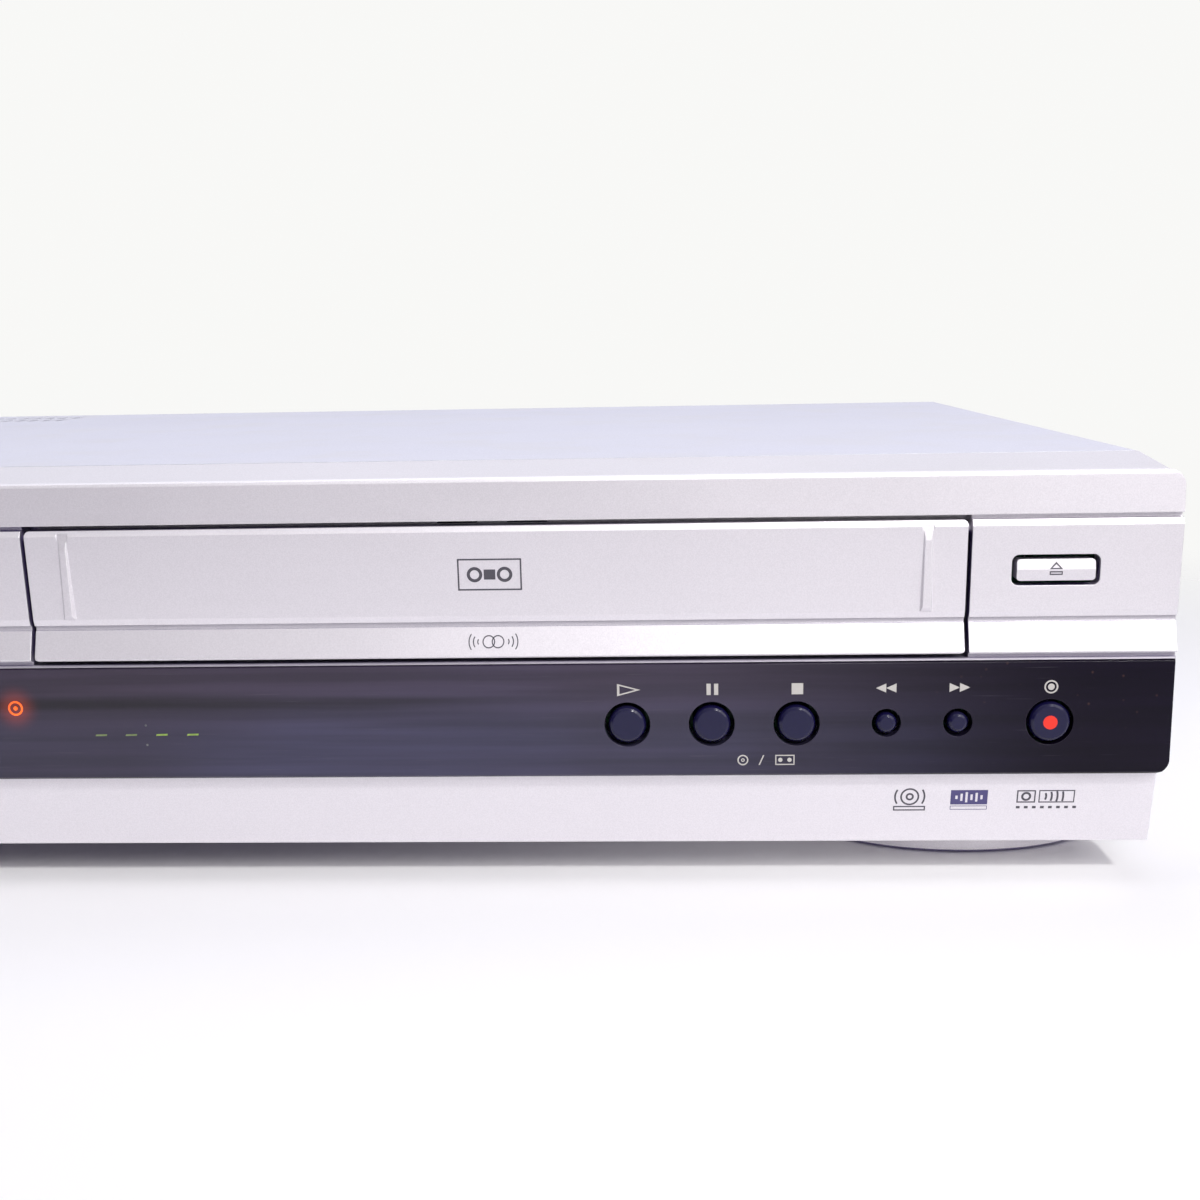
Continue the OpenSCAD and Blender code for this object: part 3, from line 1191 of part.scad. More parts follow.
// Key with a ridge along its face: the upper half leans back
module key_button(x) translate([x, 0, key_z]) {
    intersection() {
        along_y(front_y, front_y + 4.2) round_rect(key_w, key_h, 0.8);
        along_x(-key_w, key_w) polygon(at_front([[1, key_h], [0.95, key_h / 2], [0.5, 0.1], [0.65, -key_h / 2], [0.8, -key_h],
            [5, -key_h], [5, key_h]]));
    }
    along_y(front_y + 4.2 - eps, front_y + 8.7) round_rect(8, 3.4, 0.6);
}

module eject_button() color(silver) key_button(eject_x);

module open_close_button() color(silver) key_button(open_close_x);

module power_button() color(black_gloss) round_button(power_x, button_r + 0.35);

module play_button() color(black_gloss) round_button(transport[0][0], transport[0][2]);

module pause_button() color(black_gloss) round_button(transport[1][0], transport[1][2]);

module stop_button() color(black_gloss) round_button(transport[2][0], transport[2][2]);

module rewind_button() color(black_gloss) round_button(transport[3][0], transport[3][2]);

module forward_button() color(black_gloss) round_button(transport[4][0], transport[4][2]);

module record_button() color(black_gloss) round_button(transport[5][0], transport[5][2]);

front_panel();
window_panel();
cassette_door();
door_spring();
top_cover();
chassis_base();
rear_panel();
front_feet();
rear_feet();
cover_screws();
loader_frame();
disc_tray();
tray_bezel();
tray_pinion();
pulley_gear();
loading_motor();
motor_pulley();
loading_belt();
traverse_plate();
turntable();
pickup_sled();
sled_gear();
clamp_bridge();
clamp_puck();
deck_plate();
carriage_frame();
carriage_slides();
cassette_basket();
drum_lower();
drum_upper();
capstan();
capstan_motor();
pinch_arm();
pinch_roller();
supply_reel();
takeup_reel();
idler_arm();
idler_wheel();
supply_guide();
takeup_guide();
erase_head();
control_head();
main_board();
power_board();
transformer();
front_board();
display_tube();
tuner_can();
rear_jacks();
front_jacks();
mains_gland();
eject_button();
open_close_button();
power_button();
play_button();
pause_button();
stop_button();
rewind_button();
forward_button();
record_button();
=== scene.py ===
"""Finishes, printed marks, small trim, light and camera of a disc and cassette player.

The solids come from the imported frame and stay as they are. Lengths and places are millimetres in
the frame's own axes, X to the right, Y to the back and Z up, unless a line says metres. Colours are
linear, and the scale of a texture counts its features per metre.
"""

import math

import bmesh
import bpy
from mathutils import Matrix, Vector


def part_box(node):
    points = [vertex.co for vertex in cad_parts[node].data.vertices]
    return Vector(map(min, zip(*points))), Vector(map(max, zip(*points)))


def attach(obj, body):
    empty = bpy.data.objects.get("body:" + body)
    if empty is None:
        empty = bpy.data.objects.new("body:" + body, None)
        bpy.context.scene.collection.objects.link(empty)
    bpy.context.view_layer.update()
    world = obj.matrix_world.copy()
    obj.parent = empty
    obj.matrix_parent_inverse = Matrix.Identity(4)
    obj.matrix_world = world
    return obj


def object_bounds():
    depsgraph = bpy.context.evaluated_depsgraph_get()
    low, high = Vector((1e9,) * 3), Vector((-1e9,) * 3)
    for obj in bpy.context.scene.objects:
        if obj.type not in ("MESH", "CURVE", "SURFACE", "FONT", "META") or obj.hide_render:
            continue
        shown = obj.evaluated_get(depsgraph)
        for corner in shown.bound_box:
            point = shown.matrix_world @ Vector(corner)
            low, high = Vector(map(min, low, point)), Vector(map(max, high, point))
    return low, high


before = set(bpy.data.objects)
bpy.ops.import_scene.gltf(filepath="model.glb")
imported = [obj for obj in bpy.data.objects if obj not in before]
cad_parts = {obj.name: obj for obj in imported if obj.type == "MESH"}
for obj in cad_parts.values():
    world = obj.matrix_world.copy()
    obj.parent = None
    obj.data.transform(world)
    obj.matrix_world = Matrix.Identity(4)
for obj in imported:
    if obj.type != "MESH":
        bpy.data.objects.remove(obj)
CAD_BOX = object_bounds()

MM = 0.001
PI = math.pi


def mm(*place):
    """A place in millimetres as a vector in metres."""
    return Vector(place) * MM


def rgb(red, green, blue):
    """An opaque colour."""
    return (red, green, blue, 1.0)


# ------------------------------------------------------------------ places on the player

FRONT_Y = CAD_BOX[0].y / MM
REAR_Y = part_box("rear_panel")[1].y / MM


def middle(node):
    """The middle of a node's box, in millimetres."""
    low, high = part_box(node)
    return (low + high) / (2 * MM)


def upright(node):
    """A node's upright front face, written as the faces below."""
    low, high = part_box(node)
    depth = low.y / MM - FRONT_Y
    return (depth, low.z / MM), (depth, high.z / MM)


# Faces that carry print: (depth behind the front, height) at the foot and at the head
WINDOW_FACE = upright("window_panel")
RECORD_FACE = upright("record_button")
REAR_FACE = (REAR_Y - FRONT_Y, 0.0), (REAR_Y - FRONT_Y, 100.0)
DOOR_FACE = (1.2, 65.9), (0.35, 85.2)
DOOR_STRIP = (0.0, 56.7), (2.0, 63.1)
BOTTOM_STRIP = (7.0, 9.6), (3.7, 27.6)
KEY_LOWER_FACE = (0.65, 72.7), (0.5, 75.2)
KEY_UPPER_FACE = (0.5, 75.2), (0.95, 77.5)

# Lines of the front that the painted shade follows
DOOR_GAP_Z = 83.5, 84.5
CREASE_Z = 63.1, 64.5
LEDGE_Z = 54.3, 56.1

# height of the pan's underside, below which it gets painted shade
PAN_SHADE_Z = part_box("chassis_base")[0].z / MM + 0.3
BUTTON_ROW_Z = middle("record_button").z
LIT_SIGN_X, LIT_SIGN_Z = -50.1, 45.1
LIT_SIGN = mm(LIT_SIGN_X, FRONT_Y + WINDOW_FACE[0][0], LIT_SIGN_Z)
DRUM_CENTRE = mm(62, 80, 44)


# ------------------------------------------------------------------ shader nodes


def plug(tree, socket, value):
    """Links another node's output to a socket, or sets the socket's own value."""
    if isinstance(value, bpy.types.NodeSocket):
        tree.links.new(value, socket)
    else:
        socket.default_value = value


def shader(tree, kind, feeds=None, **settings):
    """Adds one shader node; feeds maps a socket to a value or to another node's output."""
    made = tree.nodes.new("ShaderNode" + kind)
    for name, value in settings.items():
        setattr(made, name, value)
    for socket, value in (feeds or {}).items():
        plug(tree, made.inputs[socket], value)
    return made


def maths(tree, operation, *terms):
    """A Math node of one, two or three terms, returned as its output."""
    return shader(tree, "Math", dict(enumerate(terms)), operation=operation).outputs[0]


def vectors(tree, operation, *terms, output="Vector"):
    """A Vector Math node, returned as its vector or its value."""
    made = shader(tree, "VectorMath", dict(enumerate(terms)), operation=operation)
    return made.outputs[output]


def stretch(tree, value, low, high, new_low=0.0, new_high=1.0):
    """Maps low..high to new_low..new_high, smoothly and clamped."""
    feeds = {0: value, 1: low, 2: high, 3: new_low, 4: new_high}
    return shader(tree, "MapRange", feeds, interpolation_type="SMOOTHSTEP").outputs[0]


def ramp(tree, length, start, end, new_low=0.0, new_high=1.0):
    """Like stretch, for a length in metres whose start and end are given in millimetres."""
    return stretch(tree, length, start * MM, end * MM, new_low, new_high)


def line_at(tree, height, span):
    """1 on a level line of the front between two heights, fading out at both, and 0 off it."""
    low, high = span
    soft = 0.3
    inside = ramp(tree, height, low, low + soft)
    return maths(tree, "MULTIPLY", inside, ramp(tree, height, high, high - soft))


def blend_colours(tree, share, first, second):
    """A colour Mix node, returned as its colour output."""
    made = shader(tree, "Mix", data_type="RGBA")
    for socket, value in ((0, share), (6, first), (7, second)):
        plug(tree, made.inputs[socket], value)
    return made.outputs[2]


def position(tree):
    """Where a point is on the object at rest, in metres."""
    return shader(tree, "TexCoord").outputs["Object"]


def axes_of(tree, vector):
    """A vector's three parts."""
    return shader(tree, "SeparateXYZ", {0: vector}).outputs


def noise(tree, place, scale, detail):
    """A noise value about 0.5."""
    return shader(tree, "TexNoise", {"Vector": place, "Scale": scale, "Detail": detail}).outputs[0]


def effect(name, inputs, outputs):
    """An empty node group with named sockets, and its inner input and output sockets."""
    tree = bpy.data.node_groups.new(name, "ShaderNodeTree")
    for label, kind, value in inputs:
        socket = tree.interface.new_socket(
            name=label, in_out="INPUT", socket_type="NodeSocket" + kind
        )
        socket.default_value = value
    for label, kind in outputs:
        tree.interface.new_socket(name=label, in_out="OUTPUT", socket_type="NodeSocket" + kind)
    taken = tree.nodes.new("NodeGroupInput").outputs
    given = tree.nodes.new("NodeGroupOutput").inputs
    return tree, taken, given


def make_grain():
    """Fine moulded or sprayed texture: a height from two sizes of noise."""
    tree, taken, given = effect(
        "fine grain",
        [("Scale", "Float", 1500.0), ("Coarse Share", "Float", 0.3)],
        [("Height", "Float")],
    )
    place = position(tree)
    fine = noise(tree, place, taken["Scale"], 2.0)
    coarse = noise(tree, place, maths(tree, "MULTIPLY", taken["Scale"], 0.17), 1.0)
    sizes = {0: taken["Coarse Share"], 2: fine, 3: coarse}
    mixed = shader(tree, "Mix", sizes, data_type="FLOAT")
    tree.links.new(mixed.outputs[0], given["Height"])
    return tree


def make_flake():
    """Aluminium flakes in paint: each cell leans its own way and has its own brightness."""
    tree, taken, given = effect(
        "metal flake",
        [
            ("Scale", "Float", 4200.0),
            ("Lean", "Float", 0.25),
            ("Normal", "Vector", (0.0, 0.0, 1.0)),
        ],
        [("Normal", "Vector"), ("Glint", "Float")],
    )
    cells = shader(tree, "TexVoronoi", {"Vector": position(tree), "Scale": taken["Scale"]})
    offset = vectors(tree, "SUBTRACT", cells.outputs["Color"], (0.5, 0.5, 0.5))
    share = {0: offset, "Scale": taken["Lean"]}
    leaning = shader(tree, "VectorMath", share, operation="SCALE").outputs[0]
    tilted = vectors(tree, "NORMALIZE", vectors(tree, "ADD", taken["Normal"], leaning))
    parts = shader(tree, "SeparateColor", {0: cells.outputs["Color"]})
    tree.links.new(tilted, given["Normal"])
    tree.links.new(parts.outputs[1], given["Glint"])
    return tree


def make_edges():
    """Rounded-edge normal, and a mask of where the edges are for wear, thin paint and painted edge
    highlights.
    """
    tree, taken, given = effect(
        "soft edges",
        [("Radius", "Float", 0.4 * MM), ("Breakup", "Float", 0.5)],
        [("Normal", "Vector"), ("Mask", "Float")],
    )
    rounded = shader(tree, "Bevel", {"Radius": taken["Radius"]}, samples=4).outputs[0]
    flat = shader(tree, "NewGeometry").outputs["Normal"]
    same = vectors(tree, "DOT_PRODUCT", rounded, flat, output="Value")
    edge = stretch(tree, same, 0.995, 0.85)
    broken = stretch(tree, noise(tree, position(tree), 260.0, 3.0), taken["Breakup"], 0.85)
    tree.links.new(rounded, given["Normal"])
    tree.links.new(maths(tree, "MULTIPLY", edge, broken), given["Mask"])
    return tree


def make_gap_shade():
    """1 deep in gaps and grooves and 0 on open faces, from ambient occlusion: a mask for painted
    shade.
    """
    tree, taken, given = effect("gap_shade", [("Reach", "Float", 2.5 * MM)], [("Mask", "Float")])
    reach = {"Distance": taken["Reach"]}
    open_share = shader(tree, "AmbientOcclusion", reach, samples=6).outputs["AO"]
    tree.links.new(stretch(tree, open_share, 0.66, 0.3), given["Mask"])
    return tree


def make_dust():
    """Dust that settles on faces that look up, thicker in patches."""
    tree, taken, given = effect(
        "dust", [("Amount", "Float", 0.3), ("Scale", "Float", 60.0)], [("Mask", "Float")]
    )
    up = axes_of(tree, shader(tree, "NewGeometry").outputs["Normal"])[2]
    facing = stretch(tree, up, 0.35, 0.95)
    place = position(tree)
    patches = stretch(tree, noise(tree, place, taken["Scale"], 4.0), 0.42, 0.75)
    cells = shader(tree, "TexVoronoi", {"Vector": place, "Scale": 900.0}).outputs["Distance"]
    specks = stretch(tree, cells, 0.14, 0.04, 0.0, 0.7)
    settled = maths(tree, "MULTIPLY", facing, maths(tree, "ADD", patches, specks))
    tree.links.new(maths(tree, "MULTIPLY", settled, taken["Amount"]), given["Mask"])
    return tree


def make_handling():
    """Roughness of a handled surface: slow patches and faint hairlines between two values."""
    tree, taken, given = effect(
        "handling",
        [("Low", "Float", 0.2), ("High", "Float", 0.35), ("Scale", "Float", 18.0)],
        [("Roughness", "Float"), ("Hairlines", "Float")],
    )
    place = position(tree)
    patches = noise(tree, place, taken["Scale"], 5.0)
    drawn = {"Vector": place, "Rotation": (0.3, 0.5, 0.4), "Scale": (70.0, 3800.0, 3800.0)}
    lines = noise(tree, shader(tree, "Mapping", drawn).outputs[0], 1.0, 1.0)
    scratch = stretch(tree, lines, 0.72, 0.78)
    levels = {0: patches, 1: 0.3, 2: 0.7, 3: taken["Low"], 4: taken["High"]}
    rough = shader(tree, "MapRange", levels).outputs[0]
    tree.links.new(maths(tree, "MULTIPLY_ADD", scratch, 0.06, rough), given["Roughness"])
    tree.links.new(scratch, given["Hairlines"])
    return tree


def make_brushing():
    """Rolled or brushed metal: noise drawn out along one direction."""
    tree, taken, given = effect(
        "brushing",
        [("Stretch", "Vector", (40.0, 1400.0, 1400.0))],
        [("Height", "Float"), ("Shade", "Float")],
    )
    drawn = vectors(tree, "MULTIPLY", position(tree), taken["Stretch"])
    lines = noise(tree, drawn, 1.0, 3.0)
    tree.links.new(lines, given["Height"])
    tree.links.new(stretch(tree, lines, 0.3, 0.7, 0.94, 1.05), given["Shade"])
    return tree


def make_tone():
    """A base colour that drifts a little from place to place, with worn edges and dust over it; the
    worn colour also carries painted edge highlights.
    """
    tree, taken, given = effect(
        "tone",
        [
            ("Colour", "Color", rgb(0.5, 0.5, 0.5)),
            ("Drift", "Float", 0.08),
            ("Shade", "Float", 1.0),
            ("Worn Colour", "Color", rgb(0.8, 0.8, 0.8)),
            ("Wear", "Float", 0.0),
            ("Dust Colour", "Color", rgb(0.45, 0.42, 0.4)),
            ("Dust", "Float", 0.0),
        ],
        [("Colour", "Color")],
    )
    slow = noise(tree, position(tree), 9.0, 3.0)
    swing = maths(tree, "SUBTRACT", slow, 0.5)
    drift = maths(tree, "MULTIPLY_ADD", swing, taken["Drift"], 1.0)
    value = maths(tree, "MULTIPLY", drift, taken["Shade"])
    tint = {"Color": taken["Colour"], "Value": value}
    shaded = shader(tree, "HueSaturation", tint).outputs[0]
    worn = blend_colours(tree, taken["Wear"], shaded, taken["Worn Colour"])
    dusted = blend_colours(tree, taken["Dust"], worn, taken["Dust Colour"])
    tree.links.new(dusted, given["Colour"])
    return tree


EFFECTS = {
    "grain": make_grain(),
    "flake": make_flake(),
    "edges": make_edges(),
    "gap_shade": make_gap_shade(),
    "dust": make_dust(),
    "handling": make_handling(),
    "brushing": make_brushing(),
    "tone": make_tone(),
}


def place_effect(tree, name, **values):
    """Places a shared effect in a material; an underscore in a value's name is a space."""
    made = tree.nodes.new("ShaderNodeGroup")
    made.node_tree = EFFECTS[name]
    for label, value in values.items():
        plug(tree, made.inputs[label.replace("_", " ").title()], value)
    return made.outputs


def bump(tree, height, strength, relief, normal=None):
    """A Bump node over a height whose full relief is given in millimetres."""
    feeds = {"Height": height, "Strength": strength, "Distance": relief * MM}
    if normal is not None:
        feeds["Normal"] = normal
    return shader(tree, "Bump", feeds).outputs[0]


def finish(name, **constants):
    """A material with one Principled BSDF whose constants are set by socket name."""
    made = bpy.data.materials.new(name)
    made.use_nodes = True
    tree = made.node_tree
    body = tree.nodes["Principled BSDF"]
    for label, value in constants.items():
        body.inputs[label.replace("_", " ")].default_value = value
    return made, tree, body


def feed(tree, body, **links):
    """Links outputs to the sockets of the material's Principled BSDF."""
    for label, source in links.items():
        tree.links.new(source, body.inputs[label.replace("_", " ")])


# ------------------------------------------------------------------ finishes


def metallic_paint(
    name, colour, *, flake_scale, rough, dusty, metallic, edge_radius, coat, gaps=1.0
):
    """Silver paint with fine flakes, edges painted near white as wear and as painted highlight, a
    little dusty on top.

    gaps is how strongly painted shade darkens the player's gaps, its crease and its ledge, from 0
    to 1.
    """
    made, tree, body = finish(name, Metallic=metallic, Coat_Weight=coat, Coat_Roughness=0.25)
    edges = place_effect(tree, "edges", radius=edge_radius * MM, breakup=0.05)
    flake = place_effect(tree, "flake", scale=flake_scale, lean=0.05, normal=edges["Normal"])
    grain = place_effect(tree, "grain", scale=1300.0, coarse_share=0.2)
    dust = place_effect(tree, "dust", amount=dusty, scale=45.0)
    handled = place_effect(tree, "handling", low=rough - 0.04, high=rough + 0.05, scale=14.0)
    # the near-white edges are partly wear and partly painted highlight
    tone = place_effect(
        tree, "tone", colour=colour, drift=0.05,
        shade=stretch(tree, flake["Glint"], 0.0, 1.0, 0.955, 1.035),
        worn_colour=rgb(0.96, 0.95, 0.96), wear=edges["Mask"],
        dust_colour=rgb(0.62, 0.6, 0.6), dust=dust["Mask"],
    )
    gap_shade = place_effect(tree, "gap_shade", reach=2.5 * MM)
    x, _, z = axes_of(tree, position(tree))
    # painted shade in the gaps, eased over the door towards the right, where that gap lets more
    # light in
    door_gap = maths(tree, "MULTIPLY", ramp(tree, z, *DOOR_GAP_Z), ramp(tree, x, -20, 160))
    shut = maths(tree, "MULTIPLY_ADD", door_gap, -0.8 * gaps, gaps)
    gap_mask = maths(tree, "MULTIPLY", gap_shade["Mask"], shut)
    # the gaps are painted dark violet as painted shade
    gap_shaded = blend_colours(tree, gap_mask, tone["Colour"], rgb(0.065, 0.036, 0.17))
    # painted shade on the ledge over the window, and less of it in the crease
    ledge = maths(tree, "MULTIPLY", line_at(tree, z, LEDGE_Z), 0.62 * gaps)
    crease = line_at(tree, z, CREASE_Z)
    lines = maths(tree, "MULTIPLY_ADD", crease, 0.32 * gaps, ledge)
    painted = blend_colours(tree, lines, gap_shaded, rgb(0.2, 0.18, 0.24))
    surface = bump(tree, grain["Height"], 0.12, 0.02, flake["Normal"])
    feed(tree, body, Base_Color=painted, Roughness=handled["Roughness"], Normal=surface)
    return made


def moulded_plastic(
    name, colour, *, rough, grain_scale, relief, dusty=0.25, worn=rgb(0.3, 0.3, 0.3), gloss=0.5
):
    """Moulded plastic with a fine grain, rubbed edges and some dust; rough is (low, high)."""
    made, tree, body = finish(name, Specular_IOR_Level=gloss)
    edges = place_effect(tree, "edges", radius=0.3 * MM, breakup=0.5)
    grain = place_effect(tree, "grain", scale=grain_scale, coarse_share=0.35)
    dust = place_effect(tree, "dust", amount=dusty, scale=60.0)
    handled = place_effect(tree, "handling", low=rough[0], high=rough[1], scale=25.0)
    tone = place_effect(
        tree, "tone", colour=colour, drift=0.12, worn_colour=worn,
        wear=maths(tree, "MULTIPLY", edges["Mask"], 0.35), dust=dust["Mask"],
    )
    surface = bump(tree, grain["Height"], 0.5, relief, edges["Normal"])
    feed(tree, body, Base_Color=tone["Colour"], Roughness=handled["Roughness"], Normal=surface)
    return made


def worked_metal(name, colour, *, rough, drawn, relief, spangle=0.0, shaded_below=0.0):
    """Bare or plated metal with drawn-out lines, and cloudy crystals where it is zinc-plated.

    Below the height shaded_below it is painted dark as painted shade, which deepens the shadow on
    the floor below, and lighter towards the right as painted fill light.
    """
    made, tree, body = finish(name, Metallic=1.0)
    edges = place_effect(tree, "edges", radius=0.25 * MM, breakup=0.3)
    lines = place_effect(tree, "brushing", stretch=drawn)
    handled = place_effect(tree, "handling", low=rough[0], high=rough[1], scale=20.0)
    dust = place_effect(tree, "dust", amount=0.15, scale=50.0)
    crystals = shader(tree, "TexVoronoi", {"Vector": position(tree), "Scale": 130.0})
    cloud = shader(tree, "SeparateColor", {0: crystals.outputs["Color"]}).outputs[0]
    clouded = stretch(tree, cloud, 0.0, 1.0, 1.0 - spangle, 1.0 + spangle)
    tone = place_effect(
        tree, "tone", colour=colour, drift=0.1,
        shade=maths(tree, "MULTIPLY", lines["Shade"], clouded),
        worn_colour=rgb(0.85, 0.85, 0.86), wear=edges["Mask"], dust=dust["Mask"],
    )
    surface = bump(tree, lines["Height"], 0.35, relief, edges["Normal"])
    # painted shade on the underside, lighter towards the right as painted fill light from that side
    x, _, z = axes_of(tree, position(tree))
    underside_shaded = ramp(tree, z, shaded_below + 0.2, shaded_below - 0.2)
    thin = ramp(tree, x, -40, 200)
    coat = blend_colours(tree, thin, rgb(0.16, 0.145, 0.19), rgb(0.62, 0.6, 0.63))
    colour_here = blend_colours(tree, underside_shaded, tone["Colour"], coat)
    feed(tree, body, Base_Color=colour_here, Roughness=handled["Roughness"], Normal=surface)
    return made


def turned_metal(name, colour, centre, rough):
    """Lathe-turned metal: fine rings about a vertical axis through centre."""
    made, tree, body = finish(name, Metallic=1.0)
    edges = place_effect(tree, "edges", radius=0.3 * MM, breakup=0.3)
    about = vectors(tree, "SUBTRACT", position(tree), tuple(centre))
    flat = vectors(tree, "MULTIPLY", about, (1.0, 1.0, 0.0))
    radius = vectors(tree, "LENGTH", flat, output="Value")
    reach = maths(tree, "ADD", radius, axes_of(tree, about)[2])
    rings = noise(tree, shader(tree, "CombineXYZ", {0: reach}).outputs[0], 2200.0, 3.0)
    handled = place_effect(tree, "handling", low=rough[0], high=rough[1], scale=30.0)
    dust = place_effect(tree, "dust", amount=0.1, scale=50.0)
    tone = place_effect(
        tree, "tone", colour=colour, drift=0.06,
        shade=stretch(tree, rings, 0.3, 0.7, 0.9, 1.06),
        worn_colour=rgb(0.9, 0.9, 0.9), wear=edges["Mask"], dust=dust["Mask"],
    )
    surface = bump(tree, rings, 0.3, 0.012, edges["Normal"])
    feed(tree, body, Base_Color=tone["Colour"], Roughness=handled["Roughness"], Normal=surface)
    return made


def smoked_acrylic(name, tint, deep):
    """Gloss smoked acrylic over black: tint at the left, deep at the right end as painted
    reflection, faintly banded.
    """
    made, tree, body = finish(name, IOR=1.37, Emission_Strength=1.0)
    edges = place_effect(tree, "edges", radius=0.3 * MM, breakup=0.05)
    handled = place_effect(tree, "handling", low=0.03, high=0.085, scale=10.0)
    x, _, z = axes_of(tree, position(tree))
    clouds = stretch(tree, noise(tree, position(tree), 14.0, 2.0), 0.35, 0.65)
    clouded = blend_colours(tree, clouds, tint, rgb(0.042, 0.039, 0.08))
    # painted reflection: a warmer brownish tone over the upper part
    top_reflection = maths(tree, "MULTIPLY", ramp(tree, z, 36, 52), 0.6)
    top_reflected = blend_colours(tree, top_reflection, clouded, rgb(0.045, 0.03, 0.05))
    # painted reflection: darker towards the right end
    reflection_toned = blend_colours(tree, ramp(tree, x, 80, 200), top_reflected, deep)
    drawn = vectors(tree, "MULTIPLY", position(tree), (9.0, 9.0, 260.0))
    bands = stretch(tree, noise(tree, drawn, 1.0, 3.0), 0.3, 0.7, 0.76, 1.24)
    # a darker band across the upper half of the left-hand side
    level = maths(tree, "ABSOLUTE", maths(tree, "SUBTRACT", z, 45.9 * MM))
    left = ramp(tree, x, 110, 30, 0.0, 0.42)
    dark = maths(tree, "MULTIPLY", ramp(tree, level, 2.4, 0.2), left)
    shade = {"Color": reflection_toned, "Value": maths(tree, "SUBTRACT", bands, dark)}
    banded = shader(tree, "HueSaturation", shade).outputs[0]
    hairlines = maths(tree, "MULTIPLY", handled["Hairlines"], 0.16)
    scuffed = blend_colours(tree, hairlines, banded, rgb(0.12, 0.11, 0.14))
    # brown specks near the right-hand end, and a paler rim as painted highlight
    cells = shader(tree, "TexVoronoi", {"Vector": position(tree), "Scale": 330.0})
    dots = stretch(tree, cells.outputs["Distance"], 0.16, 0.02, 0.0, 0.7)
    corner = maths(tree, "MULTIPLY", ramp(tree, x, 150, 200), ramp(tree, z, 34, 50))
    specks = maths(tree, "MULTIPLY", dots, corner)
    specked = blend_colours(tree, specks, scuffed, rgb(0.07, 0.035, 0.03))
    rim_highlight = maths(tree, "MULTIPLY", edges["Mask"], 0.5)
    marked = blend_colours(tree, rim_highlight, specked, rgb(0.11, 0.1, 0.13))
    # the glow that the lit disc sign spreads inside the acrylic
    spread = vectors(tree, "DISTANCE", position(tree), tuple(LIT_SIGN), output="Value")
    halo = maths(tree, "POWER", ramp(tree, spread, 7.5, 1.0), 2.2)
    glow = blend_colours(tree, halo, rgb(0.0, 0.0, 0.0), rgb(0.17, 0.018, 0.002))
    gloss = ramp(tree, x, 100, 200, 0.5, 0.22)
    feed(tree, body, Base_Color=marked, Roughness=handled["Roughness"], Normal=edges["Normal"])
    feed(tree, body, Emission_Color=glow, Specular_IOR_Level=gloss)
    return made


def solder_resist(name, board, track, line_scale):
    """Circuit board: lacquer over copper tracks that run square, with pads and some dust."""
    made, tree, body = finish(name, Coat_Weight=0.25, Coat_Roughness=0.2)
    place = position(tree)
    grid = {"Vector": place, "Scale": line_scale}
    cells = shader(tree, "TexVoronoi", grid, distance="MANHATTAN").outputs["Distance"]
    steps = maths(tree, "FRACT", maths(tree, "MULTIPLY", cells, 4.0))
    tracks = stretch(tree, steps, 0.45, 0.55)
    points = shader(tree, "TexVoronoi", {"Vector": place, "Scale": line_scale * 2.3})
    pads = stretch(tree, points.outputs["Distance"], 0.12, 0.08)
    dust = place_effect(tree, "dust", amount=0.35, scale=50.0)
    handled = place_effect(tree, "handling", low=0.3, high=0.45, scale=30.0)
    run = blend_colours(tree, maths(tree, "MULTIPLY", tracks, 0.6), board, track)
    soldered = blend_colours(tree, pads, run, rgb(0.55, 0.56, 0.55))
    tone = place_effect(tree, "tone", colour=soldered, drift=0.15, dust=dust["Mask"])
    surface = bump(tree, maths(tree, "ADD", tracks, pads), 0.4, 0.06)
    feed(tree, body, Base_Color=tone["Colour"], Roughness=handled["Roughness"], Normal=surface)
    return made


def wound_copper(name):
    """Enamelled copper wire laid in layers under clear tape."""
    made, tree, body = finish(name, Metallic=0.85, Coat_Weight=0.4, Coat_Roughness=0.25)
    coil = {"Vector": position(tree), "Scale": 900.0, "Distortion": 0.4}
    wires = shader(tree, "TexWave", coil, bands_direction="Z").outputs["Fac"]
    handled = place_effect(tree, "handling", low=0.28, high=0.42, scale=60.0)
    shade = stretch(tree, wires, 0.0, 1.0, 0.55, 1.1)
    tone = place_effect(tree, "tone", colour=rgb(0.62, 0.26, 0.1), drift=0.2, shade=shade)
    surface = bump(tree, wires, 0.7, 0.1)
    feed(tree, body, Base_Color=tone["Colour"], Roughness=handled["Roughness"], Normal=surface)
    return made


def ink(name, colour, rough=0.45):
    """Screen-printed ink: nearly flat, slightly thin in places."""
    made, tree, body = finish(name, Specular_IOR_Level=0.35)
    handled = place_effect(tree, "handling", low=rough - 0.08, high=rough + 0.08, scale=80.0)
    tone = place_effect(tree, "tone", colour=colour, drift=0.25)
    grain = place_effect(tree, "grain", scale=3500.0, coarse_share=0.5)
    surface = bump(tree, grain["Height"], 0.2, 0.02)
    feed(tree, body, Base_Color=tone["Colour"], Roughness=handled["Roughness"], Normal=surface)
    return made


def glowing(name, colour, core, strength):
    """A lit part of the display, hotter in spots."""
    made, tree, body = finish(name, Roughness=0.12, Emission_Strength=strength)
    grain = place_effect(tree, "grain", scale=2600.0, coarse_share=0.6)
    lit = blend_colours(tree, stretch(tree, grain["Height"], 0.35, 0.65), colour, core)
    dim = shader(tree, "HueSaturation", {"Color": lit, "Value": 0.5}).outputs[0]
    feed(tree, body, Base_Color=dim, Emission_Color=lit)
    return made


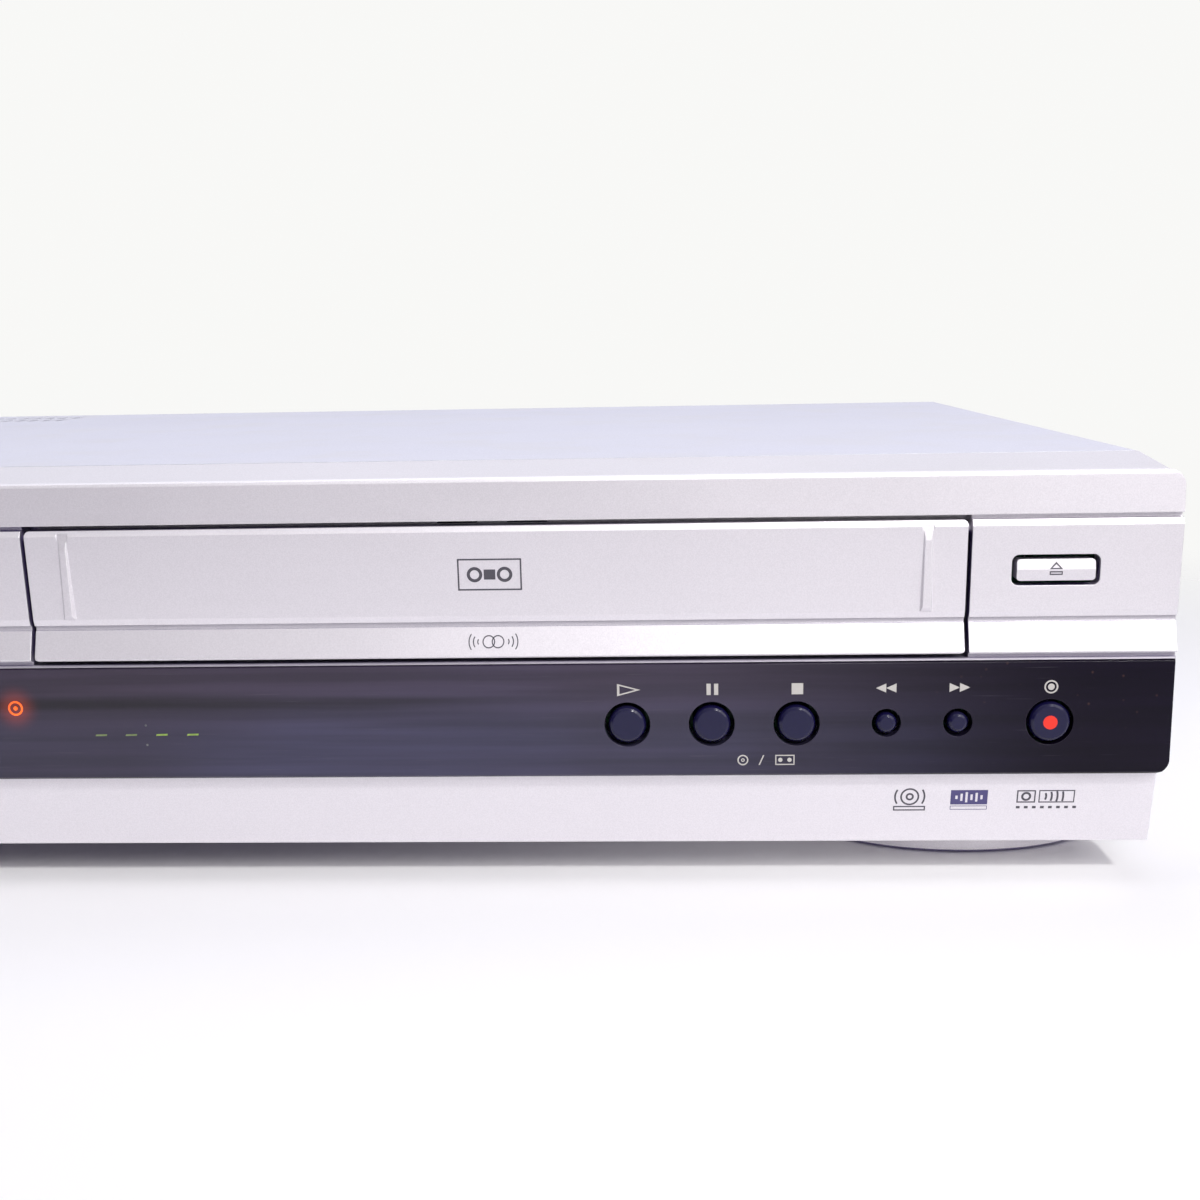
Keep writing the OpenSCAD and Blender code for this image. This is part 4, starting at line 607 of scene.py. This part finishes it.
SILVER_COLOUR = rgb(0.695, 0.667, 0.7)
SILVER = metallic_paint(
    "silver paint", SILVER_COLOUR,
    flake_scale=5200.0, rough=0.4, dusty=0.2, metallic=0.5, edge_radius=0.3, coat=0.08,
)
KEY_SILVER = metallic_paint(
    "key paint", SILVER_COLOUR,
    flake_scale=5200.0, rough=0.36, dusty=0.1, metallic=0.5, edge_radius=0.3, coat=0.08, gaps=0.0,
)
COVER = metallic_paint(
    "cover paint", rgb(0.65, 0.648, 0.73),
    flake_scale=4200.0, rough=0.5, dusty=0.3, metallic=0.2, edge_radius=0.4, coat=0.0, gaps=0.0,
)
WINDOW = smoked_acrylic("smoked acrylic", rgb(0.031, 0.026, 0.05), rgb(0.004, 0.002, 0.009))
ZINC = worked_metal(
    "zinc plate", rgb(0.6, 0.61, 0.63), rough=(0.34, 0.46),
    drawn=(26.0, 1700.0, 1700.0), relief=0.007, spangle=0.05, shaded_below=PAN_SHADE_Z,
)
PLATED = worked_metal(
    "plated sleeve", rgb(0.72, 0.71, 0.68), rough=(0.2, 0.32),
    drawn=(900.0, 120.0, 900.0), relief=0.006,
)
STEEL = worked_metal(
    "machined steel", rgb(0.7, 0.7, 0.71), rough=(0.16, 0.26),
    drawn=(1500.0, 1500.0, 90.0), relief=0.012,
)
BLACK = moulded_plastic(
    "black plastic", rgb(0.02, 0.02, 0.023), rough=(0.42, 0.48),
    grain_scale=1500.0, relief=0.06, dusty=0.03,
)
GREY = moulded_plastic(
    "grey plastic", rgb(0.16, 0.165, 0.18), rough=(0.36, 0.5), grain_scale=1500.0, relief=0.05
)
WHITE = moulded_plastic(
    "natural acetal", rgb(0.78, 0.75, 0.66), rough=(0.3, 0.42),
    grain_scale=900.0, relief=0.03, dusty=0.2, worn=rgb(0.9, 0.88, 0.82),
)
BUTTON = moulded_plastic(
    "button gloss", rgb(0.006, 0.005, 0.036), rough=(0.1, 0.18),
    grain_scale=2500.0, relief=0.008, dusty=0.04, gloss=0.28,
)
RUBBER = moulded_plastic(
    "rubber", rgb(0.03, 0.03, 0.031), rough=(0.6, 0.75),
    grain_scale=2200.0, relief=0.08, dusty=0.3, worn=rgb(0.1, 0.1, 0.1),
)
BOARD = solder_resist("green board", rgb(0.02, 0.13, 0.055), rgb(0.045, 0.26, 0.1), 160.0)
SUPPLY = solder_resist("brown board", rgb(0.3, 0.17, 0.07), rgb(0.42, 0.26, 0.1), 110.0)
COPPER = wound_copper("copper winding")
BRASS = worked_metal(
    "brass", rgb(0.78, 0.6, 0.3), rough=(0.18, 0.3), drawn=(900.0, 900.0, 200.0), relief=0.01
)
DISPLAY = smoked_acrylic("display glass", rgb(0.012, 0.03, 0.028), rgb(0.008, 0.012, 0.012))
DRUM = turned_metal("turned drum", rgb(0.78, 0.78, 0.8), DRUM_CENTRE, rough=(0.14, 0.22))
INSULATOR_COLOURS = {
    "yellow": rgb(0.8, 0.55, 0.03), "white": rgb(0.78, 0.77, 0.72), "red": rgb(0.6, 0.03, 0.025),
    "green": rgb(0.03, 0.33, 0.08), "blue": rgb(0.03, 0.1, 0.45), "orange": rgb(0.75, 0.2, 0.02),
}
INSULATORS = {
    name: moulded_plastic(
        f"{name} insulator", colour, rough=(0.28, 0.4),
        grain_scale=1800.0, relief=0.02, dusty=0.1, worn=rgb(0.6, 0.6, 0.6),
    )
    for name, colour in INSULATOR_COLOURS.items()
}
PALE_INK = ink("pale ink", rgb(0.5, 0.48, 0.45))
DARK_INK = ink("dark ink", rgb(0.075, 0.07, 0.085))
VIOLET_INK = ink("violet ink", rgb(0.07, 0.06, 0.17))
RED_INK = ink("red ink", rgb(0.8, 0.035, 0.02), 0.3)
ORANGE_GLOW = glowing("orange glow", rgb(1.0, 0.07, 0.004), rgb(1.0, 0.14, 0.01), 1.05)
GREEN_GLOW = glowing("green glow", rgb(0.19, 0.3, 0.045), rgb(0.3, 0.42, 0.08), 0.6)
DIM_GLOW = glowing("dim green glow", rgb(0.13, 0.18, 0.06), rgb(0.19, 0.25, 0.1), 0.4)
# unlit segments with a faint emission: a painted glow
UNLIT_PAINTED_GLOW = glowing("unlit segments", rgb(0.11, 0.11, 0.13), rgb(0.18, 0.18, 0.19), 0.3)

FINISH_OF_SLOT = {
    "silver_plastic": SILVER, "smoked_window": WINDOW, "cover_paint": COVER,
    "zinc_steel": ZINC, "machined_steel": STEEL, "black_plastic": BLACK,
    "grey_plastic": GREY, "white_plastic": WHITE, "button_black": BUTTON,
    "rubber": RUBBER, "circuit_board": BOARD, "supply_board": SUPPLY,
    "copper_winding": COPPER, "brass": BRASS, "display_glass": DISPLAY,
    "aluminium_drum": DRUM,
}
SILVER_KEYS = "eject_button", "open_close_button"


def dress_nodes():
    """Gives every CAD node the finish of its material slot, and the silver keys their own."""
    for name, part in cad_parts.items():
        for place in part.material_slots:
            slot = place.material.name.split(".")[0]
            place.material = KEY_SILVER if name in SILVER_KEYS else FINISH_OF_SLOT[slot]


# ------------------------------------------------------------------ outlines of signs


def around(steps):
    """The angles of one full turn."""
    return [2 * PI * i / steps for i in range(steps)]


def points_at(x, z, radius, angles):
    """Points at one distance from a centre."""
    return [(x + radius * math.cos(a), z + radius * math.sin(a)) for a in angles]


def ring_of(x, z, radius, steps=40):
    """A circle's points."""
    return points_at(x, z, radius, around(steps))


def hoop(x, z, outer, inner):
    """A circular line between two radii."""
    return [ring_of(x, z, outer), ring_of(x, z, inner)]


def bar(x, z, width, height):
    """A rectangle's points about its centre."""
    w, h = width / 2, height / 2
    return [(x - w, z - h), (x + w, z - h), (x + w, z + h), (x - w, z + h)]


def frame_of(x, z, width, height, line):
    """A rectangular line about a centre, as wide as line."""
    return [bar(x, z, width, height), bar(x, z, width - 2 * line, height - 2 * line)]


def arrow(x, z, width, height, way=1):
    """A triangle about its centre that points right, or left where way is -1."""
    w, h = way * width / 2, height / 2
    return [(x - w, z - h), (x + w, z), (x - w, z + h)]


def peak(x, z, width, height):
    """A triangle about its centre that points up."""
    w, h = width / 2, height / 2
    return [(x - w, z - h), (x + w, z - h), (x, z + h)]


def arc_of(x, z, radius, line, facing, sweep):
    """A curved line about a centre, half the sweep to each side of facing, in degrees."""
    steps = 10
    angles = [math.radians(facing - sweep / 2 + sweep * i / steps) for i in range(steps + 1)]
    inner = points_at(x, z, radius - line, angles)
    return points_at(x, z, radius, angles) + inner[::-1]


# ------------------------------------------------------------------ making pieces

PRINT_THICKNESS = 0.024


def add_piece(name, mesh, body, paint):
    """Puts a mesh into the scene in one finish, riding on a body."""
    mesh.materials.clear()
    mesh.materials.append(paint)
    piece = bpy.data.objects.new(name, mesh)
    bpy.context.scene.collection.objects.link(piece)
    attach(piece, body)


def printed(name, outlines, body, paint, face=WINDOW_FACE, lift=0.03):
    """Flat print that lies on a face: closed outlines, an inner outline being a hole.

    lift is how far the middle of the print's thickness stands forward of the face.
    """
    drawn = bpy.data.curves.new(name, "CURVE")
    drawn.dimensions = "2D"
    drawn.fill_mode = "BOTH"
    drawn.extrude = PRINT_THICKNESS / 2
    for outline in outlines:
        spline = drawn.splines.new("POLY")
        spline.points.add(len(outline) - 1)
        spline.use_cyclic_u = True
        for point, (x, z) in zip(spline.points, outline):
            point.co = (x, z, 0.0, 1.0)
    holder = bpy.data.objects.new(name, drawn)
    mesh = bpy.data.meshes.new_from_object(holder)
    bpy.data.objects.remove(holder)
    (foot_depth, foot_z), (head_depth, head_z) = face
    for vertex in mesh.vertices:
        x, z, rise = vertex.co
        share = (z - foot_z) / (head_z - foot_z)
        depth = foot_depth + share * (head_depth - foot_depth)
        vertex.co = mm(x, FRONT_Y + depth - lift - rise, z)
    add_piece(name, mesh, body, paint)


def closed_skin(name, rows, body, paint):
    """A ring-shaped piece over rows of points in metres: each row is a closed cross-section."""
    form = bmesh.new()
    sections = [[form.verts.new(point) for point in row] for row in rows]
    for row, after in zip(sections, sections[1:] + sections[:1]):
        for j in range(len(row)):
            k = (j + 1) % len(row)
            form.faces.new((row[j], row[k], after[k], after[j]))
    bmesh.ops.recalc_face_normals(form, faces=form.faces)
    mesh = bpy.data.meshes.new(name)
    form.to_mesh(mesh)
    form.free()
    add_piece(name, mesh, body, paint)


# ------------------------------------------------------------------ printed marks


def transport_signs():
    """The usual function signs over the window's buttons."""
    play_x, pause_x, stop_x, rewind_x, forward_x = 92.6, 111.65, 130.9, 150.9, 167.4
    record_x, z = middle("record_button").x, 48.4
    sides = (-1, 1)
    signs = {
        "play_sign": [arrow(play_x, z, 5.3, 2.9), arrow(play_x - 0.3, z, 3.6, 1.95)],
        "pause_sign": [bar(pause_x + side * 0.85, z, 0.95, 2.65) for side in sides],
        "stop_sign": [bar(stop_x, z, 2.6, 2.6)],
        "rewind_sign": [arrow(rewind_x + side * 1.15, z, 2.3, 2.1, -1) for side in sides],
        "forward_sign": [arrow(forward_x + side * 1.15, z, 2.3, 2.1) for side in sides],
        "record_sign": hoop(record_x, z, 1.55, 1.2),
        "record_sign_dot": [ring_of(record_x, z, 0.75)],
    }
    for name, outlines in signs.items():
        printed(name, outlines, "housing", PALE_INK)


def display_marks():
    """What the display shows through the window: a lit disc sign and four waiting dashes."""
    sign = hoop(LIT_SIGN_X, LIT_SIGN_Z, 1.75, 1.3)
    printed("disc_sign", sign, "housing", ORANGE_GLOW)
    printed("disc_sign_hub", [ring_of(LIT_SIGN_X, LIT_SIGN_Z, 0.5)], "housing", ORANGE_GLOW)
    dashes_x, colon_x, colon_z = (-30.4, -23.3, -16.1, -8.8), -19.7, (40.8, 36.1)
    foot, head, lean = 38.28, 38.74, 0.12
    for number, x in enumerate(dashes_x):
        dash = [
            (x - 1.4, foot), (x + 1.3, foot + 0.04), (x + 1.3 + lean, head),
            (x - 1.3 + lean, head - 0.04),
        ]
        glow = DIM_GLOW if number < 2 else GREEN_GLOW
        printed(f"dash_{number + 1}", [dash], "housing", glow)
    # the unlit colon shows by a faint painted glow
    colon = [ring_of(colon_x, z, 0.28, 12) for z in colon_z]
    printed("colon", colon, "housing", UNLIT_PAINTED_GLOW)


def window_signs():
    """A disc, a stroke and a cassette for what the player takes, along the foot of the window."""
    disc_x, stroke_x, cassette_x, z = 118.6, 122.2, 128.2, 31.6
    foot, head, width = z - 1.15, z + 1.15, 0.3
    stroke = [
        (stroke_x, foot), (stroke_x + width, foot), (stroke_x + width + 1.0, head),
        (stroke_x + 1.0, head),
    ]
    signs = {
        "plays_disc": hoop(disc_x, z, 1.25, 0.95),
        "plays_disc_hub": hoop(disc_x, z, 0.42, 0.2),
        "plays_stroke": [stroke],
        "plays_cassette": frame_of(cassette_x, z, 4.4, 2.4, 0.25),
        "plays_reels": [ring_of(cassette_x + side * 1.05, z, 0.5) for side in (-1, 1)],
    }
    for name, outlines in signs.items():
        printed(name, outlines, "housing", PALE_INK)


def strip_signs():
    """Signs on the bottom strip: a disc, sound bars on a dark field, and a loudspeaker."""
    disc_x, sound_x, speaker_x, wave_x = 157.6, 171.3, 184.4, 191.4
    z = 20.4
    disc_z, sound_z, speaker_z = z + 0.75, z + 0.55, z + 0.7
    bar_heights = (0.9, 1.9, 2.7, 1.5, 2.3, 1.1)
    bars = [
        bar(sound_x - 2.9 + 1.15 * i, sound_z, 0.55, tall) for i, tall in enumerate(bar_heights)
    ]
    waves = [
        arc_of(speaker_x + 2.5, speaker_z, 2.3 + 1.3 * i, 0.45, 0.0, 48.0 - 8.0 * i)
        for i in range(4)
    ]
    signs = {
        "disc_mark": hoop(disc_x, disc_z, 2.2, 1.8),
        "disc_mark_hub": hoop(disc_x, disc_z, 0.95, 0.5),
        "disc_mark_sides": [arc_of(disc_x, disc_z, 3.6, 0.4, way, 64.0) for way in (0.0, 180.0)],
        "disc_mark_line": frame_of(disc_x, z - 2.25, 7.4, 1.2, 0.3),
        "sound_mark": [bar(sound_x, sound_z, 8.5, 3.7)] + bars,
        "sound_mark_line": frame_of(sound_x, z - 2.15, 8.5, 1.0, 0.125),
        "speaker_mark": frame_of(speaker_x, speaker_z, 4.3, 3.2, 0.3),
        "speaker_mark_cone": hoop(speaker_x, speaker_z, 1.15, 0.65),
        "wave_mark": frame_of(wave_x, speaker_z, 8.2, 3.2, 0.25),
        "wave_mark_arcs": waves,
        "mark_feet": [bar(182.7 + 1.85 * i, z - 2.1, 0.85, 0.6) for i in range(8)],
    }
    for name, outlines in signs.items():
        paint = VIOLET_INK if name.startswith("sound") else DARK_INK
        printed(name, outlines, "housing", paint, BOTTOM_STRIP)


def door_signs():
    """A cassette sign on the door, and a sign for two sound channels on the strip below it."""
    x, z = 62.0, 59.9
    for name, side in (("left", -1), ("right", 1)):
        ring = hoop(x + side * 1.05, z, 1.45, 1.2)
        printed(f"stereo_sign_{name}", ring, "door", DARK_INK, DOOR_STRIP)
    arcs = [
        arc_of(x + side * 2.6, z, 1.1 + i, 0.25, 90 - side * 90, 70.0)
        for side in (-1, 1)
        for i in range(3)
    ]
    printed("stereo_sign_arcs", arcs, "door", DARK_INK, DOOR_STRIP)
    x, z = 61.65, 75.45
    printed("cassette_sign", frame_of(x, z, 14.5, 7.3, 0.35), "door", DARK_INK, DOOR_FACE)
    for side in (-1, 1):
        reel = hoop(x + side * 3.4, z, 1.75, 1.05)
        printed(f"reel_sign_{side + 2}", reel, "door", DARK_INK, DOOR_FACE)
    printed("tape_sign", [bar(x, z, 2.6, 2.3)], "door", DARK_INK, DOOR_FACE)


def key_signs():
    """Eject signs on the two silver keys, and a dot on the record button."""
    keys = {"eject": ("eject_button", "eject_key"),
            "tray_eject": ("open_close_button", "open_close_key")}
    for name, (node, body) in keys.items():
        x = middle(node).x
        roof = [peak(x, 76.1, 2.9, 1.6), peak(x, 75.98, 1.7, 0.82)]
        printed(f"{name}_sign", roof, body, DARK_INK, KEY_UPPER_FACE)
        base = [bar(x, 74.4, 2.85, 0.85), bar(x, 74.4, 2.35, 0.3)]
        printed(f"{name}_sign_bar", base, body, DARK_INK, KEY_LOWER_FACE)
    dot = [ring_of(middle("record_button").x, BUTTON_ROW_Z, 1.6)]
    printed("record_dot", dot, "record_key", RED_INK, RECORD_FACE, 0.02)


def rear_marks():
    """Group lines round the jacks and the aerial sockets, and a wave by the mains bush."""
    jacks_z, aerial_x, aerial_z, mains_x, mains_z = 50, -85, 32, -174.7, 34
    marks = {}
    for number, (left, right) in enumerate(((-46.6, -19.4), (-18.6, 8.6))):
        group = frame_of((left + right) / 2, jacks_z, right - left, 43, 0.35)
        marks[f"jack_group_{number + 1}"] = group
    marks["aerial_group"] = frame_of(aerial_x, aerial_z, 42, 16, 0.35)
    marks["aerial_arrow_in"] = [arrow(aerial_x - 19.0, aerial_z, 2.4, 2.8)]
    marks["aerial_arrow_out"] = [arrow(aerial_x + 18.8, aerial_z, 2.4, 2.8)]
    marks["mains_wave"] = [
        arc_of(mains_x + side * 1.8, mains_z, 1.9, 0.4, 180.0 + side * 90.0, 150.0)
        for side in (-1, 1)
    ]
    for name, outlines in marks.items():
        printed(name, outlines, "housing", DARK_INK, REAR_FACE, -0.03)


# ------------------------------------------------------------------ jacks and foot skirts

# Cross-sections as (radius, distance from the panel)
SLEEVE = [(3.6, 0.3), (4.22, 0.3), (4.22, 8.2), (4.05, 8.47), (3.75, 8.47), (3.6, 8.2)]
COLLAR = [(4.22, 0.02), (5.0, 0.02), (5.0, 0.35), (4.75, 0.6), (4.22, 0.6)]
INSULATOR = [(1.62, 8.01), (3.6, 8.01), (3.6, 8.1), (3.4, 8.2), (1.85, 8.2), (1.62, 8.1)]
FRONT_SINK = 9.0

# Columns of round jacks, each as (x, colours from the lowest jack up)
REAR_COLUMNS = [
    (-40, ("red", "white", "yellow")),
    (-26, ("red", "white", "yellow")),
    (-12, ("red", "blue", "green")),
    (2, ("red", "white", "orange")),
]
REAR_ROWS = (36, 50, 64)
FRONT_JACKS = {-178: "yellow", -164: "white", -150: "red"}

SKIRT_X, SKIRT_Y = 175.4, -84.6
SKIRT_HALF_WIDTH, SKIRT_HALF_DEPTH = 37.5, 24.6
# Cross-section as (share of the half width and depth, height)
SKIRT = [
    (0.66, 0.5), (0.985, 0.5), (1.0, 0.9), (0.985, 3.6), (0.95, 4.6), (0.86, 5.4), (0.66, 5.6),
]


def turned(name, place, section, paint):
    """A ring on the housing, turned about a front-to-back axis through a place."""
    x, y, z = place
    rows = [
        [mm(x + r * math.cos(a), y + out, z + r * math.sin(a)) for r, out in section]
        for a in around(36)
    ]
    closed_skin(name, rows, "housing", paint)


def jack_rings():
    """Sleeves and coloured insulators on the rear jacks, and insulators on the front ones."""
    number = 0
    for x, colours in REAR_COLUMNS:
        for z, colour in zip(REAR_ROWS, colours):
            number += 1
            place = (x, REAR_Y, z)
            turned(f"rear_sleeve_{number}", place, SLEEVE, PLATED)
            turned(f"rear_collar_{number}", place, COLLAR, INSULATORS[colour])
            turned(f"rear_insulator_{number}", place, INSULATOR, INSULATORS[colour])
    sunk = [(radius, FRONT_SINK - out) for radius, out in INSULATOR]
    for number, (x, colour) in enumerate(FRONT_JACKS.items()):
        place = (x, FRONT_Y, BUTTON_ROW_Z)
        turned(f"front_insulator_{number + 1}", place, sunk, INSULATORS[colour])


def foot_skirts():
    """Low oval silver skirts round the two front feet, open in the middle for the foot."""
    for name, side in (("left", -1), ("right", 1)):
        rows = []
        for a in around(72):
            across, along = SKIRT_HALF_WIDTH * math.cos(a), SKIRT_HALF_DEPTH * math.sin(a)
            rows.append([
                mm(side * SKIRT_X + share * across, SKIRT_Y + share * along, z)
                for share, z in SKIRT
            ])
        closed_skin(f"foot_skirt_{name}", rows, "housing", SILVER)


# ------------------------------------------------------------------ light, floor and camera


def camera_at(place, turn, dip, roll, lens):
    """The camera, turned to the right, dipped down and rolled, in degrees."""
    turn, dip, roll = (math.radians(angle) for angle in (turn, dip, roll))
    level = math.cos(dip)
    ahead = Vector((math.sin(turn) * level, math.cos(turn) * level, -math.sin(dip)))
    right = Vector((math.cos(turn), -math.sin(turn), 0.0))
    up = right.cross(ahead)
    right_rolled = right * math.cos(roll) + up * math.sin(roll)
    up_rolled = up * math.cos(roll) - right * math.sin(roll)
    seen = bpy.data.cameras.new("camera")
    seen.lens = lens
    seen.sensor_width = 36.0
    seen.clip_start = 20 * MM
    holder = bpy.data.objects.new("camera", seen)
    axes = Matrix((right_rolled, up_rolled, -ahead)).transposed()
    holder.matrix_world = Matrix.Translation(mm(*place)) @ axes.to_4x4()
    bpy.context.scene.collection.objects.link(holder)
    bpy.context.scene.camera = holder


def soft_lamp(name, place, target, size, watts, colour):
    """A rectangular soft lamp of a width and a height, aimed at a target."""
    light = bpy.data.lights.new(name, "AREA")
    light.shape = "RECTANGLE"
    light.size, light.size_y = size[0] * MM, size[1] * MM
    light.energy = watts
    light.color = colour
    holder = bpy.data.objects.new(name, light)
    holder.location = mm(*place)
    holder.rotation_euler = (mm(*target) - mm(*place)).to_track_quat("-Z", "Y").to_euler()
    bpy.context.scene.collection.objects.link(holder)


def floor_paper():
    """Pale paper whose border fades out, to meet the white surroundings without a line."""
    made, tree, body = finish(
        "floor paper", Roughness=0.9, Specular_IOR_Level=0.1, Emission_Strength=1.0
    )
    grain = place_effect(tree, "grain", scale=700.0, coarse_share=0.5)
    tone = place_effect(tree, "tone", colour=rgb(0.92, 0.92, 0.912), drift=0.02)
    mirrored = shader(tree, "LightPath").outputs["Is Glossy Ray"]
    lift = blend_colours(tree, mirrored, rgb(0.0, 0.0, 0.0), rgb(0.3, 0.3, 0.31))
    surface = bump(tree, grain["Height"], 0.1, 0.1)
    feed(tree, body, Base_Color=tone["Colour"], Emission_Color=lift, Normal=surface)
    away = vectors(tree, "LENGTH", position(tree), output="Value")
    feed(tree, body, Alpha=ramp(tree, away, 260, 560, 1.0, 0.0))
    return made


def floor():
    """A round sheet of pale paper under the player."""
    mesh = bpy.data.meshes.new("floor")
    form = bmesh.new()
    bmesh.ops.create_circle(form, cap_ends=True, radius=1.0, segments=96)
    form.to_mesh(mesh)
    form.free()
    mesh.materials.append(floor_paper())
    sheet = bpy.data.objects.new("floor", mesh)
    bpy.context.scene.collection.objects.link(sheet)


def surroundings():
    """White for what is seen past the player, a shaded room for what gloss shows, dim otherwise."""
    world = bpy.data.worlds.new("surroundings")
    bpy.context.scene.world = world
    world.use_nodes = True
    tree = world.node_tree
    x, y, z = axes_of(tree, shader(tree, "TexCoord").outputs["Generated"])
    dark_left, bright_right = rgb(0.12, 0.1, 0.14), rgb(1.13, 1.12, 1.11)
    across = blend_colours(tree, stretch(tree, x, -0.55, 0.45), dark_left, bright_right)
    overhead = stretch(tree, z, 0.0, 0.7, 0.0, 0.7)
    front = blend_colours(tree, overhead, across, rgb(1.0, 1.0, 1.0))
    wall = blend_colours(tree, stretch(tree, y, 0.2, -0.3), rgb(0.9, 0.92, 1.0), front)
    room = blend_colours(tree, stretch(tree, z, -0.2, -0.02), rgb(0.7, 0.68, 0.72), wall)
    path = shader(tree, "LightPath").outputs
    shown = blend_colours(tree, path["Is Camera Ray"], room, rgb(0.94, 0.94, 0.925))
    seen = maths(tree, "MAXIMUM", path["Is Camera Ray"], path["Is Glossy Ray"])
    seen = maths(tree, "MAXIMUM", seen, path["Is Transmission Ray"])
    ground = tree.nodes["Background"].inputs
    tree.links.new(blend_colours(tree, seen, rgb(0.09, 0.082, 0.14), shown), ground["Color"])
    ground["Strength"].default_value = 1.0


def lamps():
    """Soft light from above, the right and the front."""
    soft_lamp(
        "overhead", place=(-110, 60, 1100), target=(-20, -40, 60), size=(1500, 1000),
        watts=6.3, colour=(0.95, 0.96, 1.0),
    )
    soft_lamp(
        "key", place=(1250, -2230, 2350), target=(90, -130, 60), size=(300, 300),
        watts=52.0, colour=(1.0, 0.99, 0.985),
    )
    soft_lamp(
        "front_soft", place=(640, -1200, 860), target=(120, -130, 50), size=(900, 420),
        watts=7.2, colour=(1.0, 0.985, 0.985),
    )
    soft_lamp(
        "right_front", place=(560, -480, 330), target=(170, -130, 50), size=(420, 360),
        watts=1.15, colour=(1.0, 0.98, 0.985),
    )


camera_at((99.08, -435.37, 127.78), turn=-2.382, dip=10.884, roll=-1.045, lens=41.195)
floor()
surroundings()
lamps()
dress_nodes()
transport_signs()
display_marks()
window_signs()
strip_signs()
door_signs()
key_signs()
jack_rings()
foot_skirts()
rear_marks()

scene = bpy.context.scene
scene.view_settings.view_transform = "Standard"
